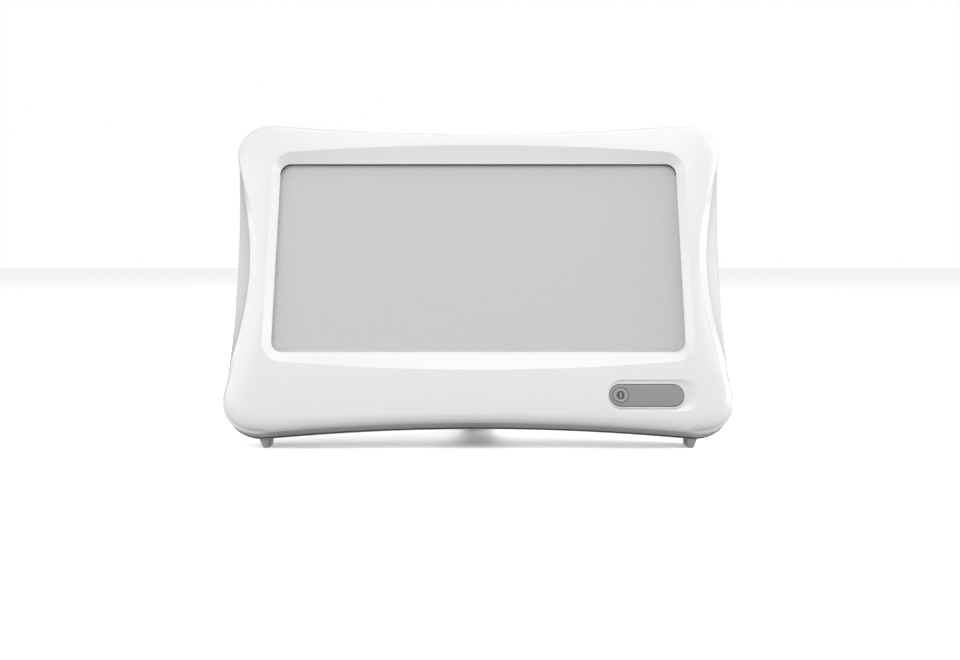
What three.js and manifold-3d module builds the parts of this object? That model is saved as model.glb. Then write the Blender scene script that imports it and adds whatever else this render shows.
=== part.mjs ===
// Light therapy lamp: a lit landscape panel in a pinched two-part housing that leans back
// on two front feet and one fold-out rear leg. Millimetres, +Z up, the front faces -Y.
import * as THREE from 'three';
import { mergeVertices } from 'three/addons/utils/BufferGeometryUtils.js';
import Module from 'manifold-3d';

const wasm = await Module();
wasm.setup();

// Driving dimensions. The housing is drawn in its own frame: x to the right, y back from
// the front plane, z up the face from the middle of the housing.
const lean = THREE.MathUtils.degToRad(16);   // backward lean of the whole housing
const seam = 0.3;                            // gap left between pieces that seat on each other
const over = 2;                              // overrun of every cut past the face it opens
const wall = 2.4;                            // thickness of the moulded shells
const groundClearance = 6.4;                 // lowest point of the parting edge above the floor

// Outlines: half width and half height at the corners, how far the middle of each side is
// pulled in (negative bows out), corner radius, height of the middle, depth of the ring.
// The front edge leads, and the parting edge, the back and the window follow it.
const front = { halfW: 167, halfH: 107.2, pinchW: 17.4, pinchH: 9.3, radius: 24 };
const flare = { width: 1.3, height: 0.7, radius: 2 };   // parting edge outside the front edge
const parting = {
  halfW: front.halfW + flare.width,
  halfH: front.halfH + flare.height,
  pinchW: 6.9,
  pinchH: 9.6,
  radius: front.radius + flare.radius,
  depth: 26,
};
const drawIn = { width: 26.3, height: 23.9 };           // flat back inside the parting edge
const back = {
  halfW: parting.halfW - drawIn.width,
  halfH: parting.halfH - drawIn.height,
  pinchW: 5,
  pinchH: 5.5,
  radius: 27,
  depth: 49,
};
// Front fillet: full width at the corners, less in the middle of the short and long sides
const faceFillet = { width: 11, sideWidth: 6.3, topWidth: 5.8, depth: 6 };
const crown = 1.5;                           // how far the face falls away from window to edge
const scoop = { width: 5.9, reach: 69, least: 0.15, powerShare: 0.6 };   // flat band on each short side
const border = { side: 34.5, top: 32.1, chin: 54.3 };   // face left round the window
const windowHole = {
  halfW: front.halfW - border.side,
  halfH: front.halfH - (border.top + border.chin) / 2,
  radius: 7,
  rise: (border.chin - border.top) / 2,
  lip: 2.4,
};
const rebate = { width: 1.6, depth: 1.4 };   // dark groove behind the lip, round the panel
const bevel = { sideWidth: 5, topWidth: 6.1, bow: 5.9, depth: 4.3, radius: 12 };
const coverRim = { proud: 0.5, depth: 4 };   // band of the rear cover that stands outside the front
const coverShoulder = { depth: 10, taper: 2.6 };   // nearly straight part behind the seam

// Light box behind the window
const diffuser = { thick: 3, overlap: 4.5 };
const film = { thick: 0.5 };
const tray = { depth: 17.2, sheet: 1.2, flange: 4, slope: 7, leadHole: 2.2 };
const trayPost = { radius: 2.6, share: 0.664 };         // share of the window's half width
const strips = { count: 5, endGap: 10, width: 9, thick: 1.6, lamps: 10, lampSize: 3.5, lampHeight: 0.8 };

// Control in the chin
const control = {
  fromSide: 57.3,                            // middle of the recess from the front's corner
  fromLow: 26,
  width: 58,
  height: 19.7,
  depth: 2.5,
  rampWidth: 9,
  slope: 5.2,
  padThick: 4.3,                             // plate left behind the recess's floor
  rimDepth: 0.77,                            // depth at which the recess's rim is drawn
  get x() { return front.halfW - this.fromSide; },
  get z() { return this.fromLow - front.halfH; },
};
const pill = { length: 46.6, height: 13.8, gapLeft: 1.7, proud: 0.1, flange: 1.5, flangeThick: 1.5 };
const button = { radius: 4.4, groove: 0.9, wellRadius: 2.9, wellDepth: 0.9, stemRadius: 1.8, proud: 0.2,
  flange: 1.4, flangeThick: 1, travel: 0.6, symbolWidth: 0.9, symbolLength: 3.2 };
const switchBoard = {
  width: 30,
  leftReach: 10,
  height: 27,
  thick: 1.6,
  gap: 5.2,
  screwReach: 9,
  screwEdge: 2.4,
  postRadius: 2.2,
};
const tact = { size: 6, height: 3.4 };

// Fasteners and their bosses
const screw = { headRadius: 3.1, headHeight: 2.2, shankRadius: 1.45, length: 17 };
const boss = { radius: 4.6, frontRadius: 4.2, floor: 3.6, counterDepth: 6 };
const bossPlace = {
  fromSide: 21.3,
  fromEnd: 25.9,
  fromLow: 19.9,
  fromControl: 24.7,
  get cornerX() { return parting.halfW - this.fromSide; },
  get cornerZ() { return parting.halfH - this.fromEnd; },
  get lowX() { return control.x - control.width / 2 - this.fromControl; },
  get lowZ() { return this.fromLow - parting.halfH; },
};
const smallScrew = { headRadius: 2.4, headHeight: 1.6, shankRadius: 1.1, length: 5 };

// Rear leg, in its own frame: y along the leg from the hinge, z across its thickness
const leg = { length: 78, width: 26, tipWidth: 20, thick: 8, tipThick: 5.6, bore: 1.8, pocketWall: 2,
  sideGap: 1.6, floorGap: 0.6, ribs: 3, ribWall: 1.8, ribDepth: 4, endGap: 1.2 };
const hinge = {
  setIn: 4.6,                                // hinge line in front of the flat back
  fromLow: 21.4,
  pinRadius: 1.5,
  pinReach: 2.4,
  washerRadius: 3.6,
  washerThick: 1,
  get depth() { return back.depth - this.setIn; },
  get rise() { return this.fromLow - parting.halfH; },
};
const tipPad = { length: 12, seat: 1, inset: 1.6, clear: 1.2, sideInset: 2 };
const fingerNotch = { radius: 11, depth: 8 };

// Front feet
const foot = {
  fromSide: 29.7,
  width: 6.6,
  toeWidth: 3.2,
  length: 16,
  setBack: 2.8,                              // front of the foot behind the parting line
  tenon: 6,
  tenonWall: 2.2,
  facet: 3.4,
  facetStep: 0.9,
  get x() { return parting.halfW - this.fromSide; },
  get front() { return parting.depth + this.setBack; },
};

// Vents, power inlet and driver electronics on the back; the board fills the room between
// the leg pocket and the side
const vent = {
  count: 9,
  pitch: 8.6,
  length: 24,
  width: 2.6,
  fromSide: 58,
  fromTop: 26,
  get x() { return back.halfW - this.fromSide; },
  get z() { return back.halfH - this.fromTop; },
};
const jack = {
  fromSide: 54,
  fromLow: 22,
  width: 9,
  height: 11,
  length: 12,
  nose: 4.2,
  bore: 3.2,
  boreDepth: 9.5,
  pin: 1,
  get x() { return back.halfW - this.fromSide; },
  get z() { return this.fromLow - back.halfH; },
};
const driver = {
  height: 56,
  thick: 1.6,
  standoff: 3,
  standoffRadius: 3,
  edge: 4,
  pocketGap: 17.4,
  sideGap: 24,
  jackGap: 10.5,
  get left() { return leg.width / 2 + leg.sideGap + leg.pocketWall + this.pocketGap; },
  get width() { return back.halfW - this.sideGap - this.left; },
  get x() { return this.left + this.width / 2; },
  get z() { return jack.z + (jack.height + this.height) / 2 + this.jackGap; },
};
const coil = { radius: 7.5, height: 8.2, bore: 2.5 };
const capacitor = { radius: 4.5, length: 17 };
const heatSink = { width: 22, height: 15, depth: 8, fins: 5, fin: 1.4, base: 1.6 };
const lead = { radius: 1.2, sides: 8, steps: 11, sweepShare: 3, tension: 0.4, jackGap: 4.6 };

const finish = {
  shell: { color: 0xf2f2f1, roughness: 0.38, metalness: 0 },
  shellBack: { color: 0xefefee, roughness: 0.45, metalness: 0 },
  panel: { color: 0xcfd0d0, roughness: 0.62, metalness: 0 },
  filmSheet: { color: 0xe6e6e4, roughness: 0.8, metalness: 0 },
  grey: { color: 0x8f9090, roughness: 0.5, metalness: 0 },
  greyRing: { color: 0xa9aaaa, roughness: 0.45, metalness: 0 },
  rubber: { color: 0x7b7c7c, roughness: 0.85, metalness: 0 },
  reflector: { color: 0xfafafa, roughness: 0.6, metalness: 0 },
  board: { color: 0x2f6b46, roughness: 0.55, metalness: 0 },
  whiteBoard: { color: 0xeef0ea, roughness: 0.5, metalness: 0 },
  steel: { color: 0xb9bcc0, roughness: 0.3, metalness: 1 },
  black: { color: 0x1d1e20, roughness: 0.5, metalness: 0 },
  ferrite: { color: 0x3a3b3e, roughness: 0.7, metalness: 0 },
  aluminium: { color: 0xc8cacc, roughness: 0.35, metalness: 1 },
  leadSkin: { color: 0xd7d7d5, roughness: 0.55, metalness: 0 },
};

const SIDE_STEPS = 10;      // facets along a long side of an outline
const END_STEPS = 8;        // facets along a short side
const CORNER_STEPS = 6;     // facets round a corner
const ROUND = 18;           // facets round a small turned piece
const FINE = 8;             // facets round a screw
const HALF_TURN = 4;        // facets round each end of the leg's side view
const TIP_TURN = 6;         // facets round each corner of the leg's tip
const COARSE = 2;           // facets round each corner of the leg's pad
const WELD = 1e-4;          // points closer than this are one point

const lamp = new THREE.Group();
const housing = new THREE.Group();
lamp.add(housing);

function piece(parent, name, geometry, look) {
  const mesh = new THREE.Mesh(geometry, new THREE.MeshStandardMaterial(finish[look]));
  mesh.name = name;
  parent.add(mesh);
  return mesh;
}

// Solids for cutting and joining

function bare(geometry) {
  const copy = geometry.clone();
  copy.deleteAttribute('normal');
  copy.deleteAttribute('uv');
  return mergeVertices(copy, WELD);
}

function solid(geometry) {
  const merged = bare(geometry);
  return new wasm.Manifold(new wasm.Mesh({
    numProp: 3,
    vertProperties: Float32Array.from(merged.attributes.position.array),
    triVerts: Uint32Array.from(merged.index.array),
  }));
}

function shapeOf(body) {
  const mesh = body.getMesh();
  const geometry = new THREE.BufferGeometry();
  geometry.setAttribute('position', new THREE.BufferAttribute(Float32Array.from(mesh.vertProperties), 3));
  geometry.setIndex(new THREE.BufferAttribute(Uint32Array.from(mesh.triVerts), 1));
  geometry.computeVertexNormals();
  return geometry;
}

function joined(first, ...others) {
  return others.reduce((body, other) => body.add(other), first);
}

function cut(first, ...others) {
  return others.reduce((body, other) => body.subtract(other), first);
}

// A prism from one depth to another, drawn on the face plane with z up
function prismGeometryUp(shape, nearY, farY, steps = 3) {
  const geometry = new THREE.ExtrudeGeometry(shape,
    { depth: farY - nearY, bevelEnabled: false, curveSegments: steps });
  return outward(geometry.rotateX(Math.PI / 2).translate(0, farY, 0));
}

function roundedShape(halfW, halfH, radius, x = 0, z = 0) {
  const r = Math.min(radius, halfW, halfH);
  const shape = new THREE.Shape();
  shape.absarc(x + halfW - r, z + halfH - r, r, 0, Math.PI / 2);
  shape.absarc(x - halfW + r, z + halfH - r, r, Math.PI / 2, Math.PI);
  shape.absarc(x - halfW + r, z - halfH + r, r, Math.PI, Math.PI * 1.5);
  shape.absarc(x + halfW - r, z - halfH + r, r, Math.PI * 1.5, Math.PI * 2);
  shape.closePath();
  return shape;
}

function block(x0, x1, y0, y1, z0, z1) {
  const geometry = new THREE.BoxGeometry(x1 - x0, y1 - y0, z1 - z0);
  return geometry.translate((x0 + x1) / 2, (y0 + y1) / 2, (z0 + z1) / 2);
}

// A round bar along y
function rod(x, z, radius, nearY, farY, facets = ROUND) {
  const geometry = new THREE.CylinderGeometry(radius, radius, farY - nearY, facets);
  return geometry.translate(x, (nearY + farY) / 2, z);
}

// A turned piece about an axis along y: points are [radius, y]
function turned(points, x, z, facets = ROUND) {
  const profile = points.map(([r, y]) => new THREE.Vector2(r, y));
  return outward(new THREE.LatheGeometry(profile, facets)).translate(x, 0, z);
}

function signedVolume(geometry) {
  const p = geometry.attributes.position;
  const index = geometry.index;
  const a = new THREE.Vector3();
  const b = new THREE.Vector3();
  const c = new THREE.Vector3();
  let sum = 0;
  for (let i = 0; i < index.count; i += 3) {
    a.fromBufferAttribute(p, index.getX(i));
    b.fromBufferAttribute(p, index.getX(i + 1));
    c.fromBufferAttribute(p, index.getX(i + 2));
    sum += a.dot(b.cross(c));
  }
  return sum / 6;
}

// The same shape with its faces pointing out
function outward(geometry) {
  const merged = bare(geometry);
  if (signedVolume(merged) < 0) {
    const index = merged.index.array;
    for (let i = 0; i < index.length; i += 3) {
      [index[i], index[i + 1]] = [index[i + 1], index[i]];
    }
  }
  merged.computeVertexNormals();
  return merged;
}

// Matched points of a rounded rectangle whose sides are drawn in by a parabola
function outlineRing({ halfW, halfH, pinchW = 0, pinchH = 0, radius, rise = 0, depth }) {
  const points = [];
  const corners = [[1, 1], [-1, 1], [-1, -1], [1, -1]];
  corners.forEach(([sx, sz], k) => {
    const cx = sx * (halfW - radius);
    const cz = sz * (halfH - radius);
    const start = k * Math.PI / 2;
    for (let i = 0; i <= CORNER_STEPS; i += 1) {
      const angle = start + (i / CORNER_STEPS) * Math.PI / 2;
      points.push([cx + radius * Math.cos(angle), cz + radius * Math.sin(angle)]);
    }
    const [nx, nz] = corners[(k + 1) % 4];
    const steps = k % 2 === 0 ? SIDE_STEPS : END_STEPS;
    const end = start + Math.PI / 2;
    const reach = [radius * Math.cos(end), radius * Math.sin(end)];
    const from = [cx + reach[0], cz + reach[1]];
    const to = [nx * (halfW - radius) + reach[0], nz * (halfH - radius) + reach[1]];
    for (let i = 1; i < steps; i += 1) {
      const t = i / steps;
      points.push([from[0] + (to[0] - from[0]) * t, from[1] + (to[1] - from[1]) * t]);
    }
  });
  return points.map(([x, z]) => new THREE.Vector3(
    x * (1 - (pinchW / halfW) * (1 - (z / halfH) ** 2)),
    depth,
    rise + z * (1 - (pinchH / halfH) * (1 - (x / halfW) ** 2)),
  ));
}

// Surface through matched rings: a closed collar when looped, else capped at both ends
function loft(rings, looped) {
  const n = rings[0].length;
  const points = rings.flat();
  const index = [];
  const spans = looped ? rings.length : rings.length - 1;
  for (let k = 0; k < spans; k += 1) {
    const near = k * n;
    const far = ((k + 1) % rings.length) * n;
    for (let i = 0; i < n; i += 1) {
      const j = (i + 1) % n;
      index.push(near + i, near + j, far + j, near + i, far + j, far + i);
    }
  }
  if (!looped) {
    const flat = (ring) => ring.map((p) => new THREE.Vector2(p.x, p.z));
    const lid = THREE.ShapeUtils.triangulateShape(flat(rings[0]), []);
    const last = (rings.length - 1) * n;
    const base = THREE.ShapeUtils.triangulateShape(flat(rings.at(-1)), []);
    const turn = THREE.ShapeUtils.area(flat(rings[0])) > 0 ? [0, 2, 1] : [0, 1, 2];
    lid.forEach((t) => index.push(...turn.map((k) => t[k])));
    base.forEach((t) => index.push(...[...turn].reverse().map((k) => last + t[k])));
  }
  const geometry = new THREE.BufferGeometry();
  const flat = points.flatMap((p) => [p.x, p.y, p.z]);
  geometry.setAttribute('position', new THREE.Float32BufferAttribute(flat, 3));
  geometry.setIndex(index);
  return outward(geometry);
}

function blend(from, to, t) {
  const mixed = {};
  Object.keys(to).forEach((key) => {
    mixed[key] = (from[key] ?? 0) + (to[key] - (from[key] ?? 0)) * t;
  });
  return mixed;
}

function inset(outline, margin, deeper = 0) {
  return {
    ...outline,
    halfW: outline.halfW - margin,
    halfH: outline.halfH - margin,
    radius: Math.max(outline.radius - margin, outline.radius / 3),
    depth: outline.depth + deeper,
  };
}

// Outlines of the front moulding, window first
const hole = { ...windowHole, pinchW: 0, pinchH: 0, depth: bevel.depth };
const bevelEdge = {
  halfW: windowHole.halfW + bevel.sideWidth,
  halfH: windowHole.halfH + bevel.topWidth,
  pinchW: 0,
  pinchH: -bevel.bow,
  radius: bevel.radius,
  rise: windowHole.rise,
  depth: 0,
};
const faceEdge = {
  ...front,
  halfW: front.halfW - faceFillet.width,
  halfH: front.halfH - faceFillet.width,
  pinchW: front.pinchW - (faceFillet.width - faceFillet.sideWidth),
  pinchH: front.pinchH - (faceFillet.width - faceFillet.topWidth),
  radius: front.radius - faceFillet.width / 2,
  rise: 0,
  depth: crown,
};
const frontEdge = { ...front, rise: 0, depth: crown + faceFillet.depth };
const partingEdge = { ...parting, rise: 0 };

const FACE_STEPS = 4;
const FILLET_STEPS = 5;
const WALL_STEPS = 4;
const softEdge = 0.16;      // share of the bevel that its rounded outer edge takes
const softDepth = 0.2;      // share of the bevel's depth at which that edge starts
const wallEase = 1.25;      // power that eases the pinch from the front edge to the parting edge
const shelf = { filletShare: 0.5, faceShare: 0.3 };   // where the inside rings follow the outside

function faceOutline(t) {
  return { ...blend(bevelEdge, faceEdge, t), depth: crown * t * t };
}

function filletOutline(t) {
  const angle = t * Math.PI / 2;
  const mixed = blend(faceEdge, frontEdge, Math.sin(angle));
  return { ...mixed, depth: faceEdge.depth + faceFillet.depth * (1 - Math.cos(angle)) };
}

// Rings of the front fillet: an elliptical round, which the scoop of each short side cuts to
// a flat band that is widest in the middle and runs out to a point
function filletRings() {
  const near = outlineRing(faceEdge);
  const far = outlineRing(frontEdge);
  const arcs = Array.from({ length: FILLET_STEPS - 1 }, (_, k) => near.map((from, i) => {
    const along = Math.max(0, 1 - (far[i].z / scoop.reach) ** 2);
    const width = Math.max(scoop.least, scoop.width * along ** scoop.powerShare);
    const run = Math.hypot(far[i].x - from.x, far[i].z - from.z);
    const angle = Math.asin(1 - width / run) * ((k + 1) / (FILLET_STEPS - 1));
    const point = from.clone().lerp(far[i], Math.sin(angle));
    point.y = faceEdge.depth + faceFillet.depth * (1 - Math.cos(angle));
    return point;
  }));
  return [...arcs, far];
}

function wallOutline(t) {
  const mixed = blend(frontEdge, partingEdge, t);
  return { ...mixed, pinchW: front.pinchW + (parting.pinchW - front.pinchW) * t ** wallEase };
}

// Front moulding: window lip, bevel, crowned face, fillet and scooped side walls
function frontBezel() {
  const lipBack = ledge - rebate.depth;
  const outer = [
    { ...inset(hole, -rebate.width), depth: ledge },
    { ...inset(hole, -rebate.width), depth: lipBack },
    { ...hole, depth: lipBack },
    hole,
    { ...blend(hole, bevelEdge, 1 - softEdge), depth: bevel.depth * softDepth },
  ];
  for (let i = 0; i <= FACE_STEPS; i += 1) outer.push(faceOutline(i / FACE_STEPS));
  const inner = [];
  for (let i = 1; i <= WALL_STEPS; i += 1) inner.push(wallOutline(i / WALL_STEPS));
  for (let i = WALL_STEPS; i >= 1; i -= 1) inner.push(inset(wallOutline(i / WALL_STEPS), wall));
  inner.push(inset(frontEdge, wall, 0));
  inner.push(inset(filletOutline(shelf.filletShare), wall / 2, wall));
  inner.push(inset(faceEdge, 0, wall));
  inner.push({ ...faceOutline(shelf.faceShare), depth: ledge });
  const rings = [outer, inner].map((outlines) => outlines.map((outline) => outlineRing(outline)));
  return solid(loft([...rings[0], ...filletRings(), ...rings[1]], true));
}

function bossPlaces() {
  return [
    [bossPlace.cornerX, bossPlace.cornerZ],
    [-bossPlace.cornerX, bossPlace.cornerZ],
    [bossPlace.cornerX, -bossPlace.cornerZ],
    [-bossPlace.cornerX, -bossPlace.cornerZ],
    [bossPlace.lowX, bossPlace.lowZ],
    [-bossPlace.lowX, bossPlace.lowZ],
  ];
}

// A lengthways slot with round ends, as a ring of matched points
function stadiumRing(left, right, height, y, z) {
  const r = height / 2;
  const ends = [[right - r, -Math.PI / 2], [left + r, Math.PI / 2]];
  const steps = FINE + 2;
  return ends.flatMap(([cx, start]) => Array.from({ length: steps + 1 }, (_, i) => {
    const angle = start + (i / steps) * Math.PI;
    return new THREE.Vector3(cx + r * Math.cos(angle), y, z + r * Math.sin(angle));
  }));
}

function stadium(left, right, height, nearY, farY, z) {
  const rings = [nearY, farY].map((y) => stadiumRing(left, right, height, y, z));
  return loft(rings, false);
}

const controlLeft = control.x - control.width / 2;
const controlRight = control.x + control.width / 2;
const pillLeft = controlLeft + pill.gapLeft;
const pillRight = pillLeft + pill.length;
const controlFloor = control.depth;
const ledge = bevel.depth + windowHole.lip;
const controlPadBack = controlFloor + control.padThick;
const pillFront = crown / 2 - pill.proud;
const buttonX = pillLeft + pill.height / 2;
const buttonHole = button.radius + button.groove;

// Finger recess for the control: steep round the left, a long ramp on the right
function controlRecess() {
  const floorRight = controlRight - control.rampWidth;
  return solid(loft([
    stadiumRing(controlLeft - over, controlRight + over, control.height + 2 * over, -over, control.z),
    stadiumRing(controlLeft, controlRight, control.height, control.rimDepth, control.z),
    stadiumRing(controlLeft + control.slope / 4, floorRight, control.height - control.slope,
      controlFloor, control.z),
  ], false));
}

function controlPad() {
  const margin = wall;
  return solid(stadium(controlLeft - margin, controlRight + margin, control.height + 2 * margin,
    crown + seam, controlPadBack, control.z));
}

function makeFrontBezel() {
  const bosses = bossPlaces().map(([x, z]) => solid(
    rod(x, z, boss.frontRadius, boss.floor, parting.depth)));
  const bores = bossPlaces().map(([x, z]) => solid(
    rod(x, z, screw.shankRadius + seam, parting.depth - screw.length, parting.depth + over, FINE)));
  const pillHole = solid(stadium(pillLeft - seam, pillRight + seam, pill.height + 2 * seam,
    controlFloor - over, controlPadBack + over, control.z));
  const flangeBack = trayFront + tray.sheet;
  const posts = trayPostPlaces().map(([x, z]) => solid(
    rod(x, z, trayPost.radius, boss.floor, flangeBack, FINE)));
  const postBores = [...trayPostPlaces().map(([x, z]) => [x, z, flangeBack]),
    ...switchScrewPlaces().map(([x, z]) => [x, z, boardFront()])].map(([x, z, end]) => solid(
    rod(x, z, smallScrew.shankRadius + seam, end - smallScrew.length, end + over, FINE)));
  const switchPosts = switchScrewPlaces().map(([x, z]) => solid(
    rod(x, z, switchBoard.postRadius, controlFloor, boardFront() - seam, FINE)));
  const body = joined(frontBezel(), controlPad(), ...bosses, ...posts, ...switchPosts);
  const whole = cut(body, controlRecess(), pillHole, ...bores, ...postBores);
  piece(housing, 'front_bezel', shapeOf(whole), 'shell');
}

// Pill-shaped control insert, held by a flange behind the recess floor
function makeControlInsert() {
  const flangeNear = controlPadBack + seam;
  const flangeFar = flangeNear + pill.flangeThick;
  const plug = solid(stadium(pillLeft, pillRight, pill.height, pillFront, flangeFar, control.z));
  const flange = solid(stadium(pillLeft - pill.flange, pillRight + pill.flange,
    pill.height + 2 * pill.flange, flangeNear, flangeFar, control.z));
  const bore = solid(rod(buttonX, control.z, buttonHole, pillFront - over, flangeFar + over));
  piece(housing, 'control_insert', shapeOf(cut(joined(plug, flange), bore)), 'grey');
  return flangeFar;
}

// Round push button: raised ring, sunk well with an upright bar, flange and stem
function makePowerButton(insertBack) {
  const face = pillFront - button.proud;
  const well = face + button.wellDepth;
  const flangeNear = insertBack + seam;
  const flangeFar = flangeNear + button.flangeThick;
  const ringTop = (button.radius + button.wellRadius) / 2;
  const stemEnd = tactFront() - button.travel - seam;
  const profile = [
    [0, well], [button.wellRadius, well], [button.wellRadius + seam / 2, face + seam],
    [ringTop, face], [button.radius, face + seam * 2],
    [button.radius, flangeNear], [buttonHole + button.flange, flangeNear],
    [buttonHole + button.flange, flangeFar], [button.stemRadius, flangeFar], [button.stemRadius, stemEnd],
    [0, stemEnd],
  ];
  const cap = solid(turned(profile, buttonX, control.z, ROUND));
  const halfBar = button.symbolWidth / 2;
  const bar = solid(block(buttonX - halfBar, buttonX + halfBar, well - button.wellDepth / 2, well + seam,
    control.z - button.symbolLength / 2, control.z + button.symbolLength / 2));
  piece(housing, 'power_button', shapeOf(joined(cap, bar)), 'greyRing');
}

function boardFront() {
  return controlPadBack + pill.flangeThick + switchBoard.gap + tact.height;
}

function tactFront() {
  return boardFront() - seam - tact.height;
}

// Switch board on two posts of the control pad, with its push switch under the button
function switchScrewPlaces() {
  const side = switchBoard.height / 2 - switchBoard.screwEdge;
  const x = buttonX + switchBoard.screwReach;
  return [[x, control.z + side], [x, control.z - side]];
}

function makeSwitchBoard() {
  const near = boardFront();
  const far = near + switchBoard.thick;
  const left = buttonX - switchBoard.leftReach;
  const right = left + switchBoard.width;
  const plate = block(left, right, near, far, control.z - switchBoard.height / 2,
    control.z + switchBoard.height / 2);
  const holes = switchScrewPlaces().map(([x, z]) => solid(
    rod(x, z, smallScrew.shankRadius + seam, near - over, far + over, FINE)));
  piece(housing, 'switch_board', shapeOf(cut(solid(plate), ...holes)), 'board');
  const half = tact.size / 2;
  piece(housing, 'tact_switch', block(buttonX - half, buttonX + half, tactFront(), near - seam,
    control.z - half, control.z + half), 'black');
  switchScrewPlaces().forEach(([x, z], i) => makeScrew(`switch_board_screw_${i + 1}`, x, z, far + seam,
    smallScrew));
}

// Pan-head screw whose head sits behind the given depth, with its shank forward
function makeScrew(name, x, z, seat, size) {
  const profile = [
    [0, seat - size.length], [size.shankRadius, seat - size.length], [size.shankRadius, seat],
    [size.headRadius, seat], [size.headRadius, seat + size.headHeight / 2],
    [size.shankRadius, seat + size.headHeight], [0, seat + size.headHeight],
  ];
  piece(housing, name, turned(profile, x, z, FINE), 'steel');
}

// Depths of the light box, each layer seated behind the one before
const diffuserFront = ledge + seam;
const filmFront = diffuserFront + diffuser.thick + seam;
const trayFront = filmFront + film.thick + seam;
const trayFloor = trayFront + tray.depth;
const layer = { halfW: windowHole.halfW + diffuser.overlap, halfH: windowHole.halfH + diffuser.overlap };

function makeDiffuser() {
  const outline = roundedShape(layer.halfW, layer.halfH, windowHole.radius, 0, windowHole.rise);
  piece(housing, 'diffuser_panel',
    prismGeometryUp(outline, diffuserFront, diffuserFront + diffuser.thick), 'panel');
  piece(housing, 'diffuser_film', prismGeometryUp(outline, filmFront, filmFront + film.thick), 'filmSheet');
}

// White pan that carries the light strips and spreads their light
function trayOutline(margin, depth) {
  return {
    halfW: layer.halfW - margin,
    halfH: layer.halfH - margin,
    radius: windowHole.radius,
    rise: windowHole.rise,
    depth,
  };
}

function makeTray() {
  const flangeBack = trayFront + tray.sheet;
  const rings = [
    trayOutline(tray.flange + tray.slope, trayFloor),
    trayOutline(tray.flange, trayFront),
    trayOutline(0, trayFront),
    trayOutline(0, flangeBack),
    trayOutline(tray.flange - tray.sheet, flangeBack),
    trayOutline(tray.flange + tray.slope - tray.sheet, trayFloor + tray.sheet),
  ].map((outline) => outlineRing(outline));
  const leadHole = solid(rod(0, windowHole.rise, tray.leadHole, trayFloor - over,
    trayFloor + tray.sheet + over, FINE));
  piece(housing, 'reflector_tray', shapeOf(cut(solid(loft(rings, false)), leadHole)), 'reflector');
  trayPostPlaces().forEach(([x, z], i) => makeScrew(`tray_screw_${i + 1}`, x, z, flangeBack + seam, {
    ...smallScrew,
    headRadius: trayPost.radius * 2,
    length: smallScrew.length + seam,
  }));
}

function trayPostPlaces() {
  const reach = layer.halfH + seam + trayPost.radius;
  const x = windowHole.halfW * trayPost.share;
  return [[-x, windowHole.rise + reach], [x, windowHole.rise + reach],
    [-x, windowHole.rise - reach], [x, windowHole.rise - reach]];
}

// Light strips with their rows of lamps, glued to the floor of the pan
function makeStrips() {
  const back = trayFloor - seam;
  const frontFace = back - strips.thick;
  const pitch = (2 * (layer.halfH - tray.flange - tray.slope)) / strips.count;
  const halfLength = layer.halfW - tray.flange - tray.slope - strips.endGap;
  const spacing = (2 * halfLength) / strips.lamps;
  const half = strips.lampSize / 2;
  for (let row = 0; row < strips.count; row += 1) {
    const z = windowHole.rise + (row - (strips.count - 1) / 2) * pitch;
    const bar = solid(block(-halfLength, halfLength, frontFace, back,
      z - strips.width / 2, z + strips.width / 2));
    const lamps = [];
    for (let i = 0; i < strips.lamps; i += 1) {
      const x = (i - (strips.lamps - 1) / 2) * spacing;
      lamps.push(solid(block(x - half, x + half, frontFace - strips.lampHeight,
        frontFace + strips.thick / 2, z - half, z + half)));
    }
    piece(housing, `led_strip_${row + 1}`, shapeOf(joined(bar, ...lamps)), 'whiteBoard');
  }
}

// Outline of the rear cover from the seam to the flat back
const COVER_STEPS = 6;
const coverFront = parting.depth + seam;
const shoulderEdge = inset({ ...partingEdge, depth: coverFront }, coverShoulder.taper, coverShoulder.depth);

function coverOutline(t) {
  const angle = t * Math.PI / 2;
  return {
    ...blend(shoulderEdge, { ...back, rise: 0 }, 1 - Math.cos(angle)),
    depth: shoulderEdge.depth + (back.depth - shoulderEdge.depth) * Math.sin(angle),
  };
}

function coverRings(margin) {
  const rim = inset(partingEdge, -coverRim.proud);
  const rings = [
    { ...rim, depth: coverFront - (margin ? over : 0) },
    { ...rim, depth: coverFront + coverRim.depth },
  ];
  for (let i = 0; i <= COVER_STEPS; i += 1) rings.push(coverOutline(i / COVER_STEPS));
  return rings.map((outline) => outlineRing({
    ...inset(outline, margin),
    depth: outline.depth - (outline.depth > coverFront ? margin : 0),
  }));
}

const pocketHalf = leg.width / 2 + leg.sideGap;
const pocketFloor = hinge.depth - leg.thick / 2 - leg.floorGap;
const pocketLow = hinge.rise - leg.thick / 2 - seam;
const pocketHigh = hinge.rise + leg.length + leg.endGap;
const notchFloor = back.depth - fingerNotch.depth;

function pocketTub(margin) {
  const farY = back.depth + over;
  const tub = solid(block(-pocketHalf - margin, pocketHalf + margin, pocketFloor - margin, farY,
    pocketLow - margin, pocketHigh + margin));
  const notch = solid(rod(0, pocketHigh, fingerNotch.radius + margin, notchFloor - margin, farY, ROUND));
  return joined(tub, notch);
}

function ventSlots() {
  const slots = [];
  [-1, 1].forEach((side) => {
    for (let i = 0; i < vent.count; i += 1) {
      const x = side * vent.x + (i - (vent.count - 1) / 2) * vent.pitch;
      const shape = roundedShape(vent.width / 2, vent.length / 2, vent.width / 2, x, vent.z);
      slots.push(solid(prismGeometryUp(shape, back.depth - wall - over, back.depth + over, 1)));
    }
  });
  return slots;
}

function footSocket(side, margin) {
  const x = side * foot.x;
  const half = foot.width / 2 + margin;
  return solid(block(x - half, x + half, foot.front - margin, foot.front + foot.length + margin,
    -parting.halfH - parting.radius, -parting.halfH + foot.tenon + margin));
}

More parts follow.
